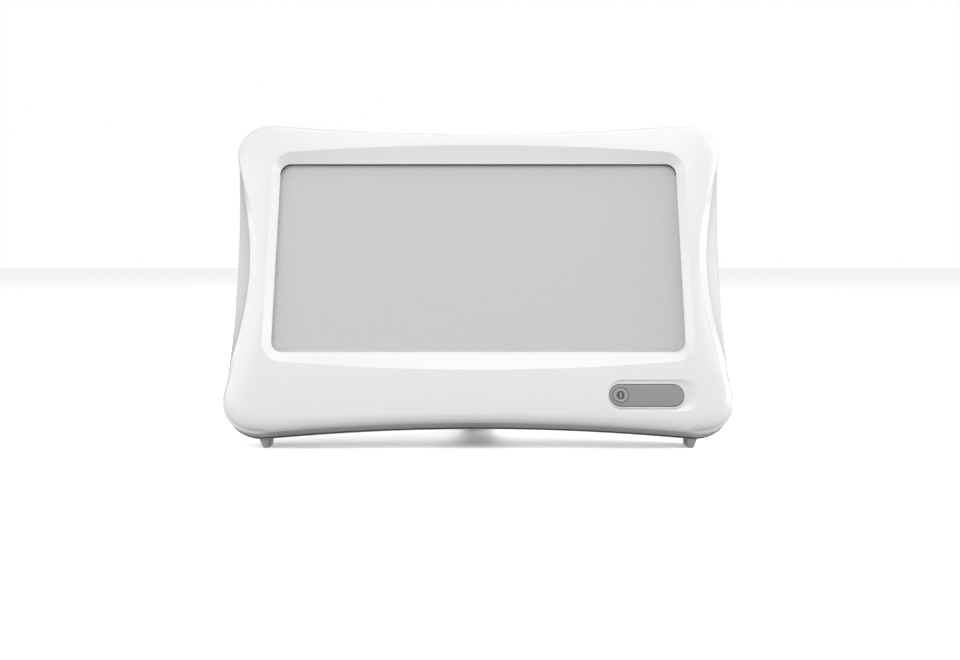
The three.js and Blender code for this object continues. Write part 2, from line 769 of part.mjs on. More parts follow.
function driverScrewPlaces() {
  const sx = driver.width / 2 - driver.edge;
  const sz = driver.height / 2 - driver.edge;
  return [[-1, 1], [1, 1], [-1, -1], [1, -1]].map(([a, b]) => [driver.x + a * sx, driver.z + b * sz]);
}

const coverInside = back.depth - wall;
const boardBack = coverInside - driver.standoff;
const boardNear = boardBack - driver.thick;

// Rear cover: deep shell with screw columns, board posts, leg pocket, vents and jack hole
function makeRearCover() {
  const outer = solid(loft(coverRings(0), false));
  const inner = solid(loft(coverRings(wall), false));
  const columns = bossPlaces().map(([x, z]) => solid(rod(x, z, boss.radius, coverFront, back.depth)));
  const posts = driverScrewPlaces().map(([x, z]) => solid(
    rod(x, z, driver.standoffRadius, boardBack + seam, back.depth - wall / 2, FINE)));
  const sockets = [-1, 1].map((side) => footSocket(side, foot.tenonWall));
  const inside = [...columns, ...posts, ...sockets, pocketTub(leg.pocketWall)]
    .reduce((body, other) => body.add(other)).intersect(outer);
  const seat = coverFront + boss.counterDepth;
  const bores = bossPlaces().flatMap(([x, z]) => [
    solid(rod(x, z, screw.shankRadius + seam, coverFront - over, back.depth, FINE)),
    solid(rod(x, z, screw.headRadius + seam, seat, back.depth + over)),
  ]);
  const postBores = driverScrewPlaces().map(([x, z]) => solid(
    rod(x, z, smallScrew.shankRadius + seam, boardBack - over, back.depth - wall / 2 - seam, FINE)));
  const pinBore = solid(hingeRod(leg.bore, pocketHalf + leg.pocketWall + hinge.pinReach + seam));
  const jackHole = solid(rod(jack.x, jack.z, jack.nose + seam, coverInside - over, back.depth + over));
  const body = joined(cut(outer, inner), inside);
  piece(housing, 'rear_cover', shapeOf(cut(body, pocketTub(0), pinBore, jackHole,
    footSocket(-1, seam), footSocket(1, seam), ...bores, ...postBores, ...ventSlots())), 'shellBack');
  bossPlaces().forEach(([x, z], i) => makeScrew(`housing_screw_${i + 1}`, x, z, seat + seam, screw));
}

// A round bar along the hinge line
function hingeRod(radius, reach, facets = ROUND) {
  const geometry = new THREE.CylinderGeometry(radius, radius, 2 * reach, facets);
  return geometry.rotateZ(Math.PI / 2).translate(0, hinge.depth, hinge.rise);
}

function makeHinge() {
  const reach = pocketHalf + leg.pocketWall + hinge.pinReach;
  piece(housing, 'hinge_pin', hingeRod(hinge.pinRadius, reach), 'steel');
  [['left', -1], ['right', 1]].forEach(([name, side]) => {
    const inner = leg.width / 2 + seam;
    const ring = [
      [leg.bore, inner], [hinge.washerRadius, inner], [hinge.washerRadius, inner + hinge.washerThick],
      [leg.bore, inner + hinge.washerThick], [leg.bore, inner],
    ];
    const geometry = turned(ring, 0, 0, FINE).rotateZ(-side * Math.PI / 2);
    geometry.translate(0, hinge.depth, hinge.rise);
    piece(housing, `hinge_washer_${name}`, outward(geometry), 'black');
  });
}

// Driver board with its coil, capacitor and finned heat sink
function makeDriver() {
  const plate = solid(block(driver.x - driver.width / 2, driver.x + driver.width / 2, boardNear, boardBack,
    driver.z - driver.height / 2, driver.z + driver.height / 2));
  const holes = driverScrewPlaces().map(([x, z]) => solid(
    rod(x, z, smallScrew.shankRadius + seam, boardNear - over, boardBack + over, FINE)));
  piece(housing, 'driver_board', shapeOf(cut(plate, ...holes)), 'board');
  driverScrewPlaces().forEach(([x, z], i) => {
    makeFrontScrew(`driver_screw_${i + 1}`, x, z, boardNear - seam);
  });
  const part = boardNear - seam;
  const coilX = driver.x - driver.width / 4;
  const ring = [[coil.bore, part - coil.height], [coil.radius, part - coil.height], [coil.radius, part],
    [coil.bore, part], [coil.bore, part - coil.height]];
  piece(housing, 'driver_coil', turned(ring, coilX, driver.z, ROUND), 'ferrite');
  const can = new THREE.CylinderGeometry(capacitor.radius, capacitor.radius, capacitor.length, ROUND);
  can.rotateZ(Math.PI / 2).translate(driver.x, part - capacitor.radius, driver.z + driver.height / 4);
  piece(housing, 'driver_capacitor', can, 'black');
  const sinkX = driver.x + driver.width / 4;
  const base = solid(block(sinkX - heatSink.width / 2, sinkX + heatSink.width / 2,
    part - heatSink.base, part, driver.z - heatSink.height / 2, driver.z + heatSink.height / 2));
  const pitch = (heatSink.width - heatSink.fin) / (heatSink.fins - 1);
  const fins = Array.from({ length: heatSink.fins }, (_, i) => {
    const x = sinkX - heatSink.width / 2 + i * pitch;
    return solid(block(x, x + heatSink.fin, part - heatSink.depth, part,
      driver.z - heatSink.height / 2, driver.z + heatSink.height / 2));
  });
  piece(housing, 'driver_heat_sink', shapeOf(joined(base, ...fins)), 'aluminium');
}

// Small screw driven from the front into a post of the rear cover
function makeFrontScrew(name, x, z, seat) {
  const size = smallScrew;
  const profile = [
    [0, seat - size.headHeight], [size.shankRadius, seat - size.headHeight],
    [size.headRadius, seat - size.headHeight / 2], [size.headRadius, seat], [size.shankRadius, seat],
    [size.shankRadius, seat + size.length], [0, seat + size.length],
  ];
  piece(housing, name, turned(profile, x, z, FINE), 'steel');
}

// Power inlet: square body inside, round nose in the cover, bore with a centre pin
function makeJack() {
  const near = coverInside - seam - jack.length;
  const far = coverInside - seam;
  const box = solid(block(jack.x - jack.width / 2, jack.x + jack.width / 2, near, far,
    jack.z - jack.height / 2, jack.z + jack.height / 2));
  const nose = solid(rod(jack.x, jack.z, jack.nose, far - seam, back.depth));
  const bore = solid(rod(jack.x, jack.z, jack.bore, back.depth - jack.boreDepth, back.depth + over));
  const pin = solid(rod(jack.x, jack.z, jack.pin, back.depth - jack.boreDepth - seam,
    back.depth - over / 2, FINE));
  piece(housing, 'dc_jack', shapeOf(joined(cut(joined(box, nose), bore), pin)), 'black');
}

// Internal leads, each a round tube along a smooth route
function makeLead(name, route) {
  const curve = new THREE.CatmullRomCurve3(route.map(([x, y, z]) => new THREE.Vector3(x, y, z)), false,
    'catmullrom', lead.tension);
  const section = new THREE.Shape();
  section.absarc(0, 0, lead.radius, 0, Math.PI * 2);
  const geometry = new THREE.ExtrudeGeometry(section, {
    extrudePath: curve,
    steps: lead.steps,
    curveSegments: lead.sides / 2,
    bevelEnabled: false,
  });
  piece(housing, name, outward(geometry), 'leadSkin');
}

function makeLeads() {
  const boardLow = driver.z - driver.height / 2;
  const sweep = lead.radius * lead.sweepShare;
  const trayBack = trayFloor + tray.sheet;
  const lane = (trayBack + boardNear) / 2;
  const boardRear = boardFront() + switchBoard.thick + seam;
  const switchX = buttonX + switchBoard.screwReach;
  const laneX = jack.x + jack.width / 2 + lead.jackGap + lead.radius;
  makeLead('switch_lead', [
    [switchX, boardRear, control.z],
    [switchX, boardRear + sweep, control.z],
    [laneX, lane, control.z + sweep],
    [laneX, lane, boardLow - sweep],
    [laneX, boardNear - sweep, boardLow + sweep],
    [laneX, boardNear - seam, boardLow + sweep],
  ]);
  const stripX = driver.x - driver.width / 2 + sweep;
  makeLead('led_lead', [
    [stripX, boardNear - seam, driver.z],
    [stripX, boardNear - sweep, driver.z],
    [stripX - sweep, lane, driver.z + sweep],
    [sweep * 2, lane, windowHole.rise],
    [0, trayBack + sweep / 2, windowHole.rise],
    [0, trayFloor, windowHole.rise],
  ]);
  const jackNear = coverInside - seam - jack.length;
  makeLead('jack_lead', [
    [jack.x, jackNear - seam, jack.z],
    [jack.x, jackNear - sweep / 2, jack.z],
    [jack.x - sweep / 2, jackNear - sweep, (jack.z + boardLow) / 2],
    [jack.x - sweep, boardNear - sweep / 2, boardLow + sweep],
    [jack.x - sweep, boardNear - seam, boardLow + sweep],
  ]);
}

// Height of the housing: its lowest parting point clears the floor by the set amount
const partingLow = Math.min(...outlineRing(partingEdge).map(
  (p) => p.z * Math.cos(lean) - p.y * Math.sin(lean)));
housing.rotation.x = -lean;
housing.position.z = groundClearance - partingLow;
housing.updateMatrix();

// Everything under the floor, in the frame of the given group
function underFloor(group) {
  const reach = parting.halfW * 2;
  const slab = block(-reach, reach, -reach, reach, -reach, 0);
  return solid(outward(slab.applyMatrix4(group.matrix.clone().invert())));
}

// Rubber foot: tenon in the cover, fin that narrows to the toe, cut level with the floor
function makeFoot(name, side) {
  const innerX = foot.x - foot.width / 2;
  const section = (width, nearY, z) => [
    [innerX, nearY], [innerX + width, nearY], [innerX + width, foot.front + foot.length],
    [innerX, foot.front + foot.length],
  ].map(([x, y]) => new THREE.Vector3(side * x, y, z));
  const skin = -parting.halfH + parting.pinchH * (1 - (foot.x / parting.halfW) ** 2);
  const floorLine = (foot.front * Math.sin(lean) - housing.position.z) / Math.cos(lean);
  const widthAt = (z) => foot.width + (foot.toeWidth - foot.width) * ((skin - z) / (skin - floorLine));
  const fold = skin - foot.facet;
  const rings = [
    section(foot.width, foot.front + foot.facetStep, -parting.halfH + foot.tenon),
    section(foot.width, foot.front + foot.facetStep, skin),
    section(widthAt(fold), foot.front, fold),
    section(widthAt(floorLine), foot.front + foot.facetStep / 2, floorLine),
    section(widthAt(floorLine), foot.front + foot.facetStep / 2, floorLine - over),
  ];
  const fin = solid(loftUp(rings));
  piece(housing, name, shapeOf(fin.subtract(underFloor(housing))), 'rubber');
}

// Surface through matched four-cornered sections stacked along z
function loftUp(sections) {
  const n = sections[0].length;
  const index = [];
  for (let k = 0; k < sections.length - 1; k += 1) {
    for (let i = 0; i < n; i += 1) {
      const j = (i + 1) % n;
      index.push(k * n + i, k * n + j, (k + 1) * n + j, k * n + i, (k + 1) * n + j, (k + 1) * n + i);
    }
  }
  const last = (sections.length - 1) * n;
  for (let i = 1; i < n - 1; i += 1) {
    index.push(0, i + 1, i);
    index.push(last, last + i, last + i + 1);
  }
  const geometry = new THREE.BufferGeometry();
  const points = sections.flat().flatMap((p) => [p.x, p.y, p.z]);
  geometry.setAttribute('position', new THREE.Float32BufferAttribute(points, 3));
  geometry.setIndex(index);
  return outward(geometry);
}

// Rear leg group: hung on the hinge line and turned down until its pad meets the floor
const pivot = new THREE.Vector3(0, hinge.depth, hinge.rise).applyMatrix4(housing.matrix);
const tipReach = leg.length - tipPad.inset;
const tipDrop = leg.tipThick / 2 + tipPad.clear;
const legFall = Math.asin(pivot.z / Math.hypot(tipReach, tipDrop)) - Math.atan2(tipDrop, tipReach);
const legGroup = new THREE.Group();
legGroup.position.copy(pivot);
legGroup.rotation.x = -legFall;
legGroup.updateMatrix();
lamp.add(legGroup);

// Side view of the leg: round hub, straight back, tapering to the tip
function legSide() {
  const hub = leg.thick / 2;
  const tip = leg.tipThick / 2;
  const shape = new THREE.Shape();
  shape.absarc(0, 0, hub, Math.PI / 2, Math.PI * 1.5);
  shape.lineTo(leg.length - tip, -tip);
  shape.absarc(leg.length - tip, 0, tip, -Math.PI / 2, Math.PI / 2);
  shape.lineTo(0, hub);
  const geometry = new THREE.ExtrudeGeometry(shape,
    { depth: leg.width, bevelEnabled: false, curveSegments: HALF_TURN });
  geometry.rotateY(Math.PI / 2).rotateX(Math.PI / 2).translate(-leg.width / 2, 0, 0);
  return solid(outward(geometry));
}

// Plan of the leg: full width at the hub, narrowing to a rounded tip
function legPlan() {
  const half = leg.width / 2;
  const tip = leg.tipWidth / 2;
  const round = tip / 2;
  const shape = new THREE.Shape();
  shape.moveTo(-half, -leg.thick);
  shape.lineTo(half, -leg.thick);
  shape.lineTo(half, leg.thick);
  shape.lineTo(tip, leg.length - round);
  shape.absarc(tip - round, leg.length - round, round, 0, Math.PI / 2);
  shape.absarc(round - tip, leg.length - round, round, Math.PI / 2, Math.PI);
  shape.lineTo(-half, leg.thick);
  const geometry = new THREE.ExtrudeGeometry(shape,
    { depth: leg.thick * 2, bevelEnabled: false, curveSegments: TIP_TURN });
  return solid(outward(geometry.translate(0, 0, -leg.thick)));
}

// Pockets on the underside leave a frame with cross ribs
function legPockets() {
  const start = leg.thick;
  const end = leg.length - tipPad.length - tipPad.inset - leg.ribWall * 2;
  const cells = leg.ribs + 1;
  const pitch = (end - start) / cells;
  return Array.from({ length: cells }, (_, i) => {
    const y0 = start + i * pitch + leg.ribWall / 2;
    const y1 = start + (i + 1) * pitch - leg.ribWall / 2;
    const half = leg.tipWidth / 2 - leg.ribWall;
    return solid(block(-half, half, y0, y1, -leg.thick, leg.ribDepth - leg.thick / 2));
  });
}

function padBlock(margin, topZ) {
  const far = leg.length - tipPad.inset;
  const half = leg.tipWidth / 2 - tipPad.sideInset;
  const shape = roundedShape(half + margin, tipPad.length / 2 + margin, half / 3, 0,
    far - tipPad.length / 2);
  const geometry = new THREE.ExtrudeGeometry(shape,
    { depth: leg.thick, bevelEnabled: false, curveSegments: COARSE });
  return solid(outward(geometry.translate(0, 0, topZ - leg.thick)));
}

function makeLeg() {
  const bore = solid(new THREE.CylinderGeometry(leg.bore, leg.bore, leg.width + 2 * over, ROUND)
    .rotateZ(Math.PI / 2));
  const seatTop = tipPad.seat - leg.tipThick / 2;
  const body = legSide().intersect(legPlan());
  piece(legGroup, 'rear_leg', shapeOf(cut(body, bore, padBlock(seam, seatTop + seam), ...legPockets())),
    'shellBack');
  piece(legGroup, 'leg_pad', shapeOf(padBlock(0, seatTop).subtract(underFloor(legGroup))), 'rubber');
}

makeFrontBezel();
makePowerButton(makeControlInsert());
makeSwitchBoard();
makeDiffuser();
makeTray();
makeStrips();
makeRearCover();
makeHinge();
makeDriver();
makeJack();
makeLeads();
makeFoot('left_foot', -1);
makeFoot('right_foot', 1);
makeLeg();

// The origin is under the middle of the lamp's outer box, on the floor
lamp.updateMatrixWorld(true);
const reach = new THREE.Box3().setFromObject(lamp, true);
const middle = (reach.min.y + reach.max.y) / 2;
housing.position.y -= middle;
legGroup.position.y -= middle;

export default lamp;
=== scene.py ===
"""Looks of a tabletop light therapy lamp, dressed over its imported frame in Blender 4.5."""

import logging
import math
from dataclasses import astuple, dataclass, field, replace
from enum import Enum
from functools import cache, cached_property

import bmesh
import bpy
import numpy as np
from bpy.types import Material, NodeSocket, Object, World
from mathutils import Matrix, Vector


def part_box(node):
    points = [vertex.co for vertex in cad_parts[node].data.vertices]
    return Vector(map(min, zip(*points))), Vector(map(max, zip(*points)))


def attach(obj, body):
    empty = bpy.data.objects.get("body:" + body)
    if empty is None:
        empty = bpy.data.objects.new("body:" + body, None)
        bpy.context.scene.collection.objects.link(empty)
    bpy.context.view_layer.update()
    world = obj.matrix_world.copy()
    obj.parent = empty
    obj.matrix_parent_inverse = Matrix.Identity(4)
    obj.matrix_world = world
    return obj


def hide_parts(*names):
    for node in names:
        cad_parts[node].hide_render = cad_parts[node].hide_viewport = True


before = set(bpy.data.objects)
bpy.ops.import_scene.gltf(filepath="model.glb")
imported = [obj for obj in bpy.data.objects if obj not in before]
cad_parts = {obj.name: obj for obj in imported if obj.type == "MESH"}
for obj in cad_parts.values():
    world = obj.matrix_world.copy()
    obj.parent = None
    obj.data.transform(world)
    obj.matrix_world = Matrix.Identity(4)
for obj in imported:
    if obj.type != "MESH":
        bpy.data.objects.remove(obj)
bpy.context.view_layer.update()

log = logging.getLogger("lamp")
Array = np.ndarray
Pair = tuple[float, float]

MM = 0.001
TURN = 2 * math.pi
SHARP_DEGREES = 32.0


class Body(Enum):
    """The bodies that a piece can ride on."""

    HOUSING = "housing"
    LEG = "leg"
    BUTTON = "button"


# Colour and nodes


def linear(hex_colour: str) -> tuple[float, float, float, float]:
    """Turns an sRGB hex colour to linear light.

    Args:
        hex_colour: six hex digits.

    Returns:
        Red, green, blue and an alpha of one.
    """
    parts = [int(hex_colour[i : i + 2], 16) / 255 for i in (0, 2, 4)]
    light = [c / 12.92 if c <= 0.04045 else ((c + 0.055) / 1.055) ** 2.4 for c in parts]
    return (*light, 1.0)


class Nodes:
    """The node tree of one material or world, made from empty."""

    def __init__(self, owner: Material | World) -> None:
        """Empties the owner's tree."""
        owner.use_nodes = True
        self.tree = owner.node_tree
        self.tree.nodes.clear()

    def add(self, kind: str, inputs: dict | None = None, out: int | str = 0, **settings) -> NodeSocket:
        """Adds one node with its settings, values and links.

        Args:
            kind: the node's class name after its common start.
            inputs: socket name or number to a value, or to an output socket to link.
            out: name or number of the output that is wanted.
            settings: the node's own properties.

        Returns:
            The output socket, or nothing for a node without one.
        """
        node = self.tree.nodes.new("ShaderNode" + kind)
        for name, value in settings.items():
            setattr(node, name, value)
        for name, value in (inputs or {}).items():
            if isinstance(value, NodeSocket):
                self.tree.links.new(value, node.inputs[name])
            else:
                node.inputs[name].default_value = value
        return node.outputs[out] if node.outputs else None

    def place(self, across: float = 1.0) -> NodeSocket:
        """Object coordinates, scaled along x alone, which draws a pattern out sideways."""
        inputs = {"Vector": self.add("TexCoord", out="Object"), "Scale": (across, 1.0, 1.0)}
        return self.add("Mapping", inputs)

    def mix(self, factor: NodeSocket, low: tuple, high: tuple | NodeSocket, **settings) -> NodeSocket:
        """Mixes two colours by a factor."""
        return self.add("Mix", {0: factor, 6: low, 7: high}, 2, data_type="RGBA", **settings)

    def noise(self, place: NodeSocket, size_mm: float, detail: float, rough: float = 0.5) -> NodeSocket:
        """Noise from zero to one, with patches of one size and octaves of finer detail."""
        inputs = {"Vector": place, "Scale": 1 / (size_mm * MM), "Detail": detail, "Roughness": rough}
        return self.add("TexNoise", inputs)


class Grain(Enum):
    """How the surface's relief is laid out, with the octaves of its noise."""

    PEEL = 1.0
    DRAWN = 2.0
    SPARK = 4.0


DRAWN_SHARE = 0.08
PATCH_MM = 40.0
PATCH_DETAIL = 3.0
PATCH_ROUGH = 0.55


@dataclass(frozen=True)
class Finish:
    """One finish: what the real material is, and how its surface was made.

    Attributes:
        name: the material's name.
        colour: sRGB hex of the surface.
        shade: sRGB hex of the darker patches that the slow variation reaches.
        roughness: middle of the roughness.
        ior: index of refraction.
        grain_mm: size of one grain.
        relief_mm: height of the relief.
        grain: layout of the relief.
        metallic: one for bare metal.
        coat: strength of a clear gloss coat.
        swing: how far the roughness wanders from its middle.
        bump: strength of the relief.
    """

    name: str
    colour: str
    shade: str
    roughness: float
    ior: float
    grain_mm: float
    relief_mm: float
    grain: Grain = Grain.PEEL
    metallic: float = 0.0
    coat: float = 0.0
    swing: float = 0.04
    bump: float = 1.0

    def build(self) -> Material:
        """Makes the material's nodes.

        Returns:
            The material.
        """
        material = bpy.data.materials.new(self.name)
        nodes = Nodes(material)
        patches, height = self.pattern(nodes)
        low, high = self.roughness - self.swing, self.roughness + self.swing
        relief = {"Height": height, "Strength": self.bump, "Distance": self.relief_mm * MM}
        sockets = {
            "Base Color": nodes.mix(patches, linear(self.shade), linear(self.colour)),
            "Roughness": nodes.add("MapRange", {"Value": patches, "To Min": low, "To Max": high}),
            "Metallic": self.metallic,
            "IOR": self.ior,
            "Coat Weight": self.coat,
            "Normal": nodes.add("Bump", relief),
        }
        nodes.add("OutputMaterial", {"Surface": nodes.add("BsdfPrincipled", sockets)})
        return material

    def pattern(self, nodes: Nodes) -> tuple[NodeSocket, NodeSocket]:
        """Lays out the surface.

        Args:
            nodes: the material's nodes.

        Returns:
            The slow patches and the height of the relief, both from zero to one.
        """
        place = nodes.place(DRAWN_SHARE if self.grain is Grain.DRAWN else 1.0)
        patches = nodes.noise(nodes.place(), PATCH_MM, PATCH_DETAIL, PATCH_ROUGH)
        return patches, nodes.noise(place, self.grain_mm, self.grain.value)


@dataclass(frozen=True)
class PanelFinish(Finish):
    """Pebbled acrylic of the diffuser: a pale grey sheet with fine mottling.

    Its grain is a pebble, drawn coarser than the real one so that it shows, and its shade is the colour that
    the mottling reaches.

    Attributes:
        blend: how softly the pebbles run together.
        mottle_mm: height of the mottling.
        mottle_share: height of the mottling as a share of its width.
    """

    blend: float = 0.5
    mottle_mm: float = 1.6
    mottle_share: float = 0.7

    def pattern(self, nodes: Nodes) -> tuple[NodeSocket, NodeSocket]:
        """Lays out the surface: mottling, which also scales the pebbles.

        Args:
            nodes: the material's nodes.

        Returns:
            The mottling and the height of the relief.
        """
        inputs = {"Vector": nodes.place(), "Scale": 1 / (self.grain_mm * MM), "Smoothness": self.blend}
        pebbles = nodes.add("TexVoronoi", inputs, feature="SMOOTH_F1")
        mottle = nodes.noise(nodes.place(self.mottle_share), self.mottle_mm, PATCH_DETAIL)
        return mottle, nodes.add("Math", {0: pebbles, 1: mottle}, operation="MULTIPLY")


# Each row: name, colour, shade, roughness, index of refraction, grain and relief in mm, layout,
# and one where the metal is bare
# Injection-moulded ABS: bright white with a satin sheen and faint moulding ripple
SHELL = Finish("shell_satin_abs", "f6f6f6", "f3f3f3", 0.24, 1.53, 1.6, 0.003)
# The same ABS from a spark-eroded tool: a fine even texture that scatters the light. Its colour, a touch
# darker than the shell's, is painted shade for the back, the leg and the lower rim.
COVER = Finish("cover_textured_abs_painted_shade", "efefee", "eaeae9", 0.5, 1.53, 0.7, 0.02, Grain.SPARK)
INSERT = Finish("insert_grey_abs", "9c9d9d", "979898", 0.42, 1.53, 0.8, 0.004)
BUTTON = Finish("button_light_grey_abs", "abacac", "a6a7a7", 0.36, 1.53, 0.8, 0.003)
WELL = Finish("button_well_grey", "6b6c6d", "646566", 0.45, 1.53, 0.6, 0.004)
# Dark grey that paints shade: strips that stand in for the shadow behind the window's upper lip and in the
# shells' seam
SHADE_STRIP = Finish("dark_painted_shade_strip", "38393a", "323334", 0.8, 1.5, 0.5, 0.02, Grain.SPARK)
RUBBER = Finish("toe_rubber", "c6c7c7", "bfc0c0", 0.7, 1.5, 0.6, 0.02, Grain.SPARK)
STEEL = Finish("screw_zinc_steel", "b4b7ba", "a6a9ad", 0.3, 1.5, 0.3, 0.004, Grain.DRAWN, 1.0)
BLACK = Finish("inlet_black_nylon", "1e1f21", "191a1b", 0.45, 1.53, 0.5, 0.01, Grain.SPARK)
FERRITE = Finish("coil_ferrite", "3a3b3e", "313235", 0.65, 1.6, 0.4, 0.02, Grain.SPARK)
BOARD = Finish("board_green_lacquer", "2f6b46", "285d3c", 0.35, 1.52, 1.2, 0.01, coat=0.4)
LAMP_BOARD = Finish("lamp_board_white_lacquer", "eef0ea", "e6e8e0", 0.35, 1.52, 1.0, 0.006)
ALUMINIUM = Finish("heat_sink_aluminium", "c8cacc", "bfc1c4", 0.35, 1.5, 0.4, 0.01, Grain.DRAWN, 1.0)
REFLECTOR = Finish("reflector_white_sheet", "f8f8f7", "f2f2f1", 0.55, 1.5, 1.5, 0.01)
FILM = Finish("diffusing_film", "eaeae8", "e4e4e2", 0.7, 1.5, 0.4, 0.01, Grain.SPARK)
SHEATH = Finish("lead_sheath_vinyl", "d9d9d7", "d0d0ce", 0.5, 1.52, 1.0, 0.01)
PANEL = PanelFinish("diffuser_pebbled_acrylic", "d9d9d9", "cecece", 0.65, 1.49, 0.9, 0.05, swing=0, bump=0.6)


@cache
def material_of(finish: Finish) -> Material:
    """The material of a finish, made once."""
    return finish.build()


# Meshes


def place_object(name: str, data: bpy.types.ID) -> Object:
    """Makes an object in the scene.

    Args:
        name: the object's name.
        data: its mesh, light or camera.

    Returns:
        The new object.
    """
    obj = bpy.data.objects.new(name, data)
    bpy.context.scene.collection.objects.link(obj)
    return obj


def mesh_from_grid(name: str, points: Array, looped: bool = False) -> Object:
    """Makes a closed object, facing out, from closed rings of points.

    Args:
        name: the object's name.
        points: array of rings, steps and three coordinates, in metres.
        looped: the last ring joins the first. Otherwise a flat face closes each end.

    Returns:
        The new object.
    """
    rings, steps, _ = points.shape
    ring = np.arange(rings if looped else rings - 1)[:, None]
    step = np.arange(steps)[None, :]
    near, far = ring * steps, ((ring + 1) % rings) * steps
    left, right = step, (step + 1) % steps
    quads = np.stack([near + left, near + right, far + right, far + left], axis=-1).reshape(-1, 4)
    faces = quads.tolist()
    if not looped:
        faces.append(list(range(steps - 1, -1, -1)))
        faces.append([(rings - 1) * steps + i for i in range(steps)])
    mesh = bpy.data.meshes.new(name)
    mesh.from_pydata(points.reshape(-1, 3).tolist(), [], faces)
    mesh.validate()
    shape = bmesh.new()
    shape.from_mesh(mesh)
    if shape.calc_volume(signed=True) < 0:
        mesh.flip_normals()
    shape.free()
    return place_object(name, mesh)


def settle(obj: Object) -> None:
    """Applies an object's modifiers to its mesh.

    Args:
        obj: the object.
    """
    graph = bpy.context.evaluated_depsgraph_get()
    done = bpy.data.meshes.new_from_object(obj.evaluated_get(graph))
    obj.modifiers.clear()
    obj.data = done


def carve(obj: Object, cutters: list[Object]) -> None:
    """Cuts solids out of an object.

    Args:
        obj: the object to cut.
        cutters: closed solids, which are removed afterwards.
    """
    for cutter in cutters:
        cut = obj.modifiers.new("cut", "BOOLEAN")
        cut.operation, cut.solver, cut.object = "DIFFERENCE", "EXACT", cutter
    settle(obj)
    for cutter in cutters:
        bpy.data.objects.remove(cutter)


def dress(
    obj: Object,
    finish: Finish,
    slot: str,
    *nodes: str,
    body: Body = Body.HOUSING,
    degrees: float = SHARP_DEGREES,
) -> None:
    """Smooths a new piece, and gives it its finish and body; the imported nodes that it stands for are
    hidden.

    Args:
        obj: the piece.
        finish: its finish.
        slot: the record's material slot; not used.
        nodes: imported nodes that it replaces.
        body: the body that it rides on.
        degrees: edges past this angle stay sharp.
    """
    obj.data.shade_smooth()
    obj.data.set_sharp_from_angle(angle=math.radians(degrees))
    obj.data.materials.clear()
    obj.data.materials.append(material_of(finish))
    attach(obj, body.value)
    if nodes:
        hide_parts(*nodes)
    log.info("%s: %d faces", obj.name, len(obj.data.polygons))


WELD_MM = 0.005
FLAT_DEGREES = 1.0
EDGE_DEGREES = 40.0


def soften(node: str, width_mm: float, finish: Finish, slot: str, body: Body = Body.HOUSING) -> None:
    """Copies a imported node, merges its triangles, rounds its edges and dresses it.

    Args:
        node: the node's name.
        width_mm: width of the rounding.
        finish: its finish.
        slot: the record's material slot.
        body: the body that it rides on.
    """
    obj = place_object(f"{node}_moulded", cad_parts[node].data.copy())
    weld = obj.modifiers.new("weld", "WELD")
    weld.merge_threshold = WELD_MM * MM
    flat = obj.modifiers.new("flat", "DECIMATE")
    flat.decimate_type = "DISSOLVE"
    flat.angle_limit = math.radians(FLAT_DEGREES)
    settle(obj)
    obj.data.shade_flat()
    bevel = obj.modifiers.new("edge", "BEVEL")
    bevel.width = width_mm * MM
    bevel.segments = 3
    bevel.limit_method = "ANGLE"
    bevel.angle_limit = math.radians(EDGE_DEGREES)
    bevel.use_clamp_overlap = True
    settle(obj)
    dress(obj, finish, slot, node, body=body, degrees=EDGE_DEGREES)


# Outlines


# Where an outline's row holds its half sizes and radius, the short sides' pinch, and the depth
SIZES, PINCH_W, DEPTH = [0, 1, 4], 2, 6


@dataclass(frozen=True)
class Outline:
    """A rounded rectangle whose sides are drawn in, at one depth, in millimetres.

    Attributes:
        half_w: half width at the corners.
        half_h: half height at the corners.
        pinch_w: how far the middle of each short side is drawn in.
        pinch_h: how far the middle of each long side is drawn in, negative for a bow.
        radius: corner radius.
        rise: height of the outline's middle.
        depth: distance behind the front plane.
        ease: power that keeps the drawn-in stretch of the short sides away from the corners.
    """

    half_w: float
    half_h: float
    pinch_w: float
    pinch_h: float
    radius: float
    rise: float = 0.0
    depth: float = 0.0
    ease: float = 1.0

    def row(self) -> Array:
        """The outline's sizes as one row."""
        return np.array(astuple(self))

    def inset(self, margin: float, deeper: float = 0.0) -> "Outline":
        """The outline drawn in by a margin and moved back."""
        radius = max(self.radius - margin, self.radius / 3)
        return self.shrunk(margin, radius=radius, depth=self.depth + deeper)

    def shrunk(self, margin: float, **sizes: float) -> "Outline":
        """The outline with both half sizes a margin less, and with other sizes replaced."""
        return replace(self, half_w=self.half_w - margin, half_h=self.half_h - margin, **sizes)


def mixed(first: Outline, last: Outline, share: Array, depth: Array) -> Array:
    """Rows of sizes between two outlines.

    Args:
        first: the outline at share zero.
        last: the outline at share one.
        share: how far each row lies between them.
        depth: each row's depth.

    Returns:
        One row of sizes for each share.
    """
    share = np.atleast_1d(share)[:, None]
    rows = first.row() * (1 - share) + last.row() * share
    rows[:, DEPTH] = depth
    return rows


def rows_at(edges: list[Outline], depths: list[float]) -> Array:
    """Rows of outlines, each set at a depth."""
    return np.stack([replace(edge, depth=depth).row() for edge, depth in zip(edges, depths)])


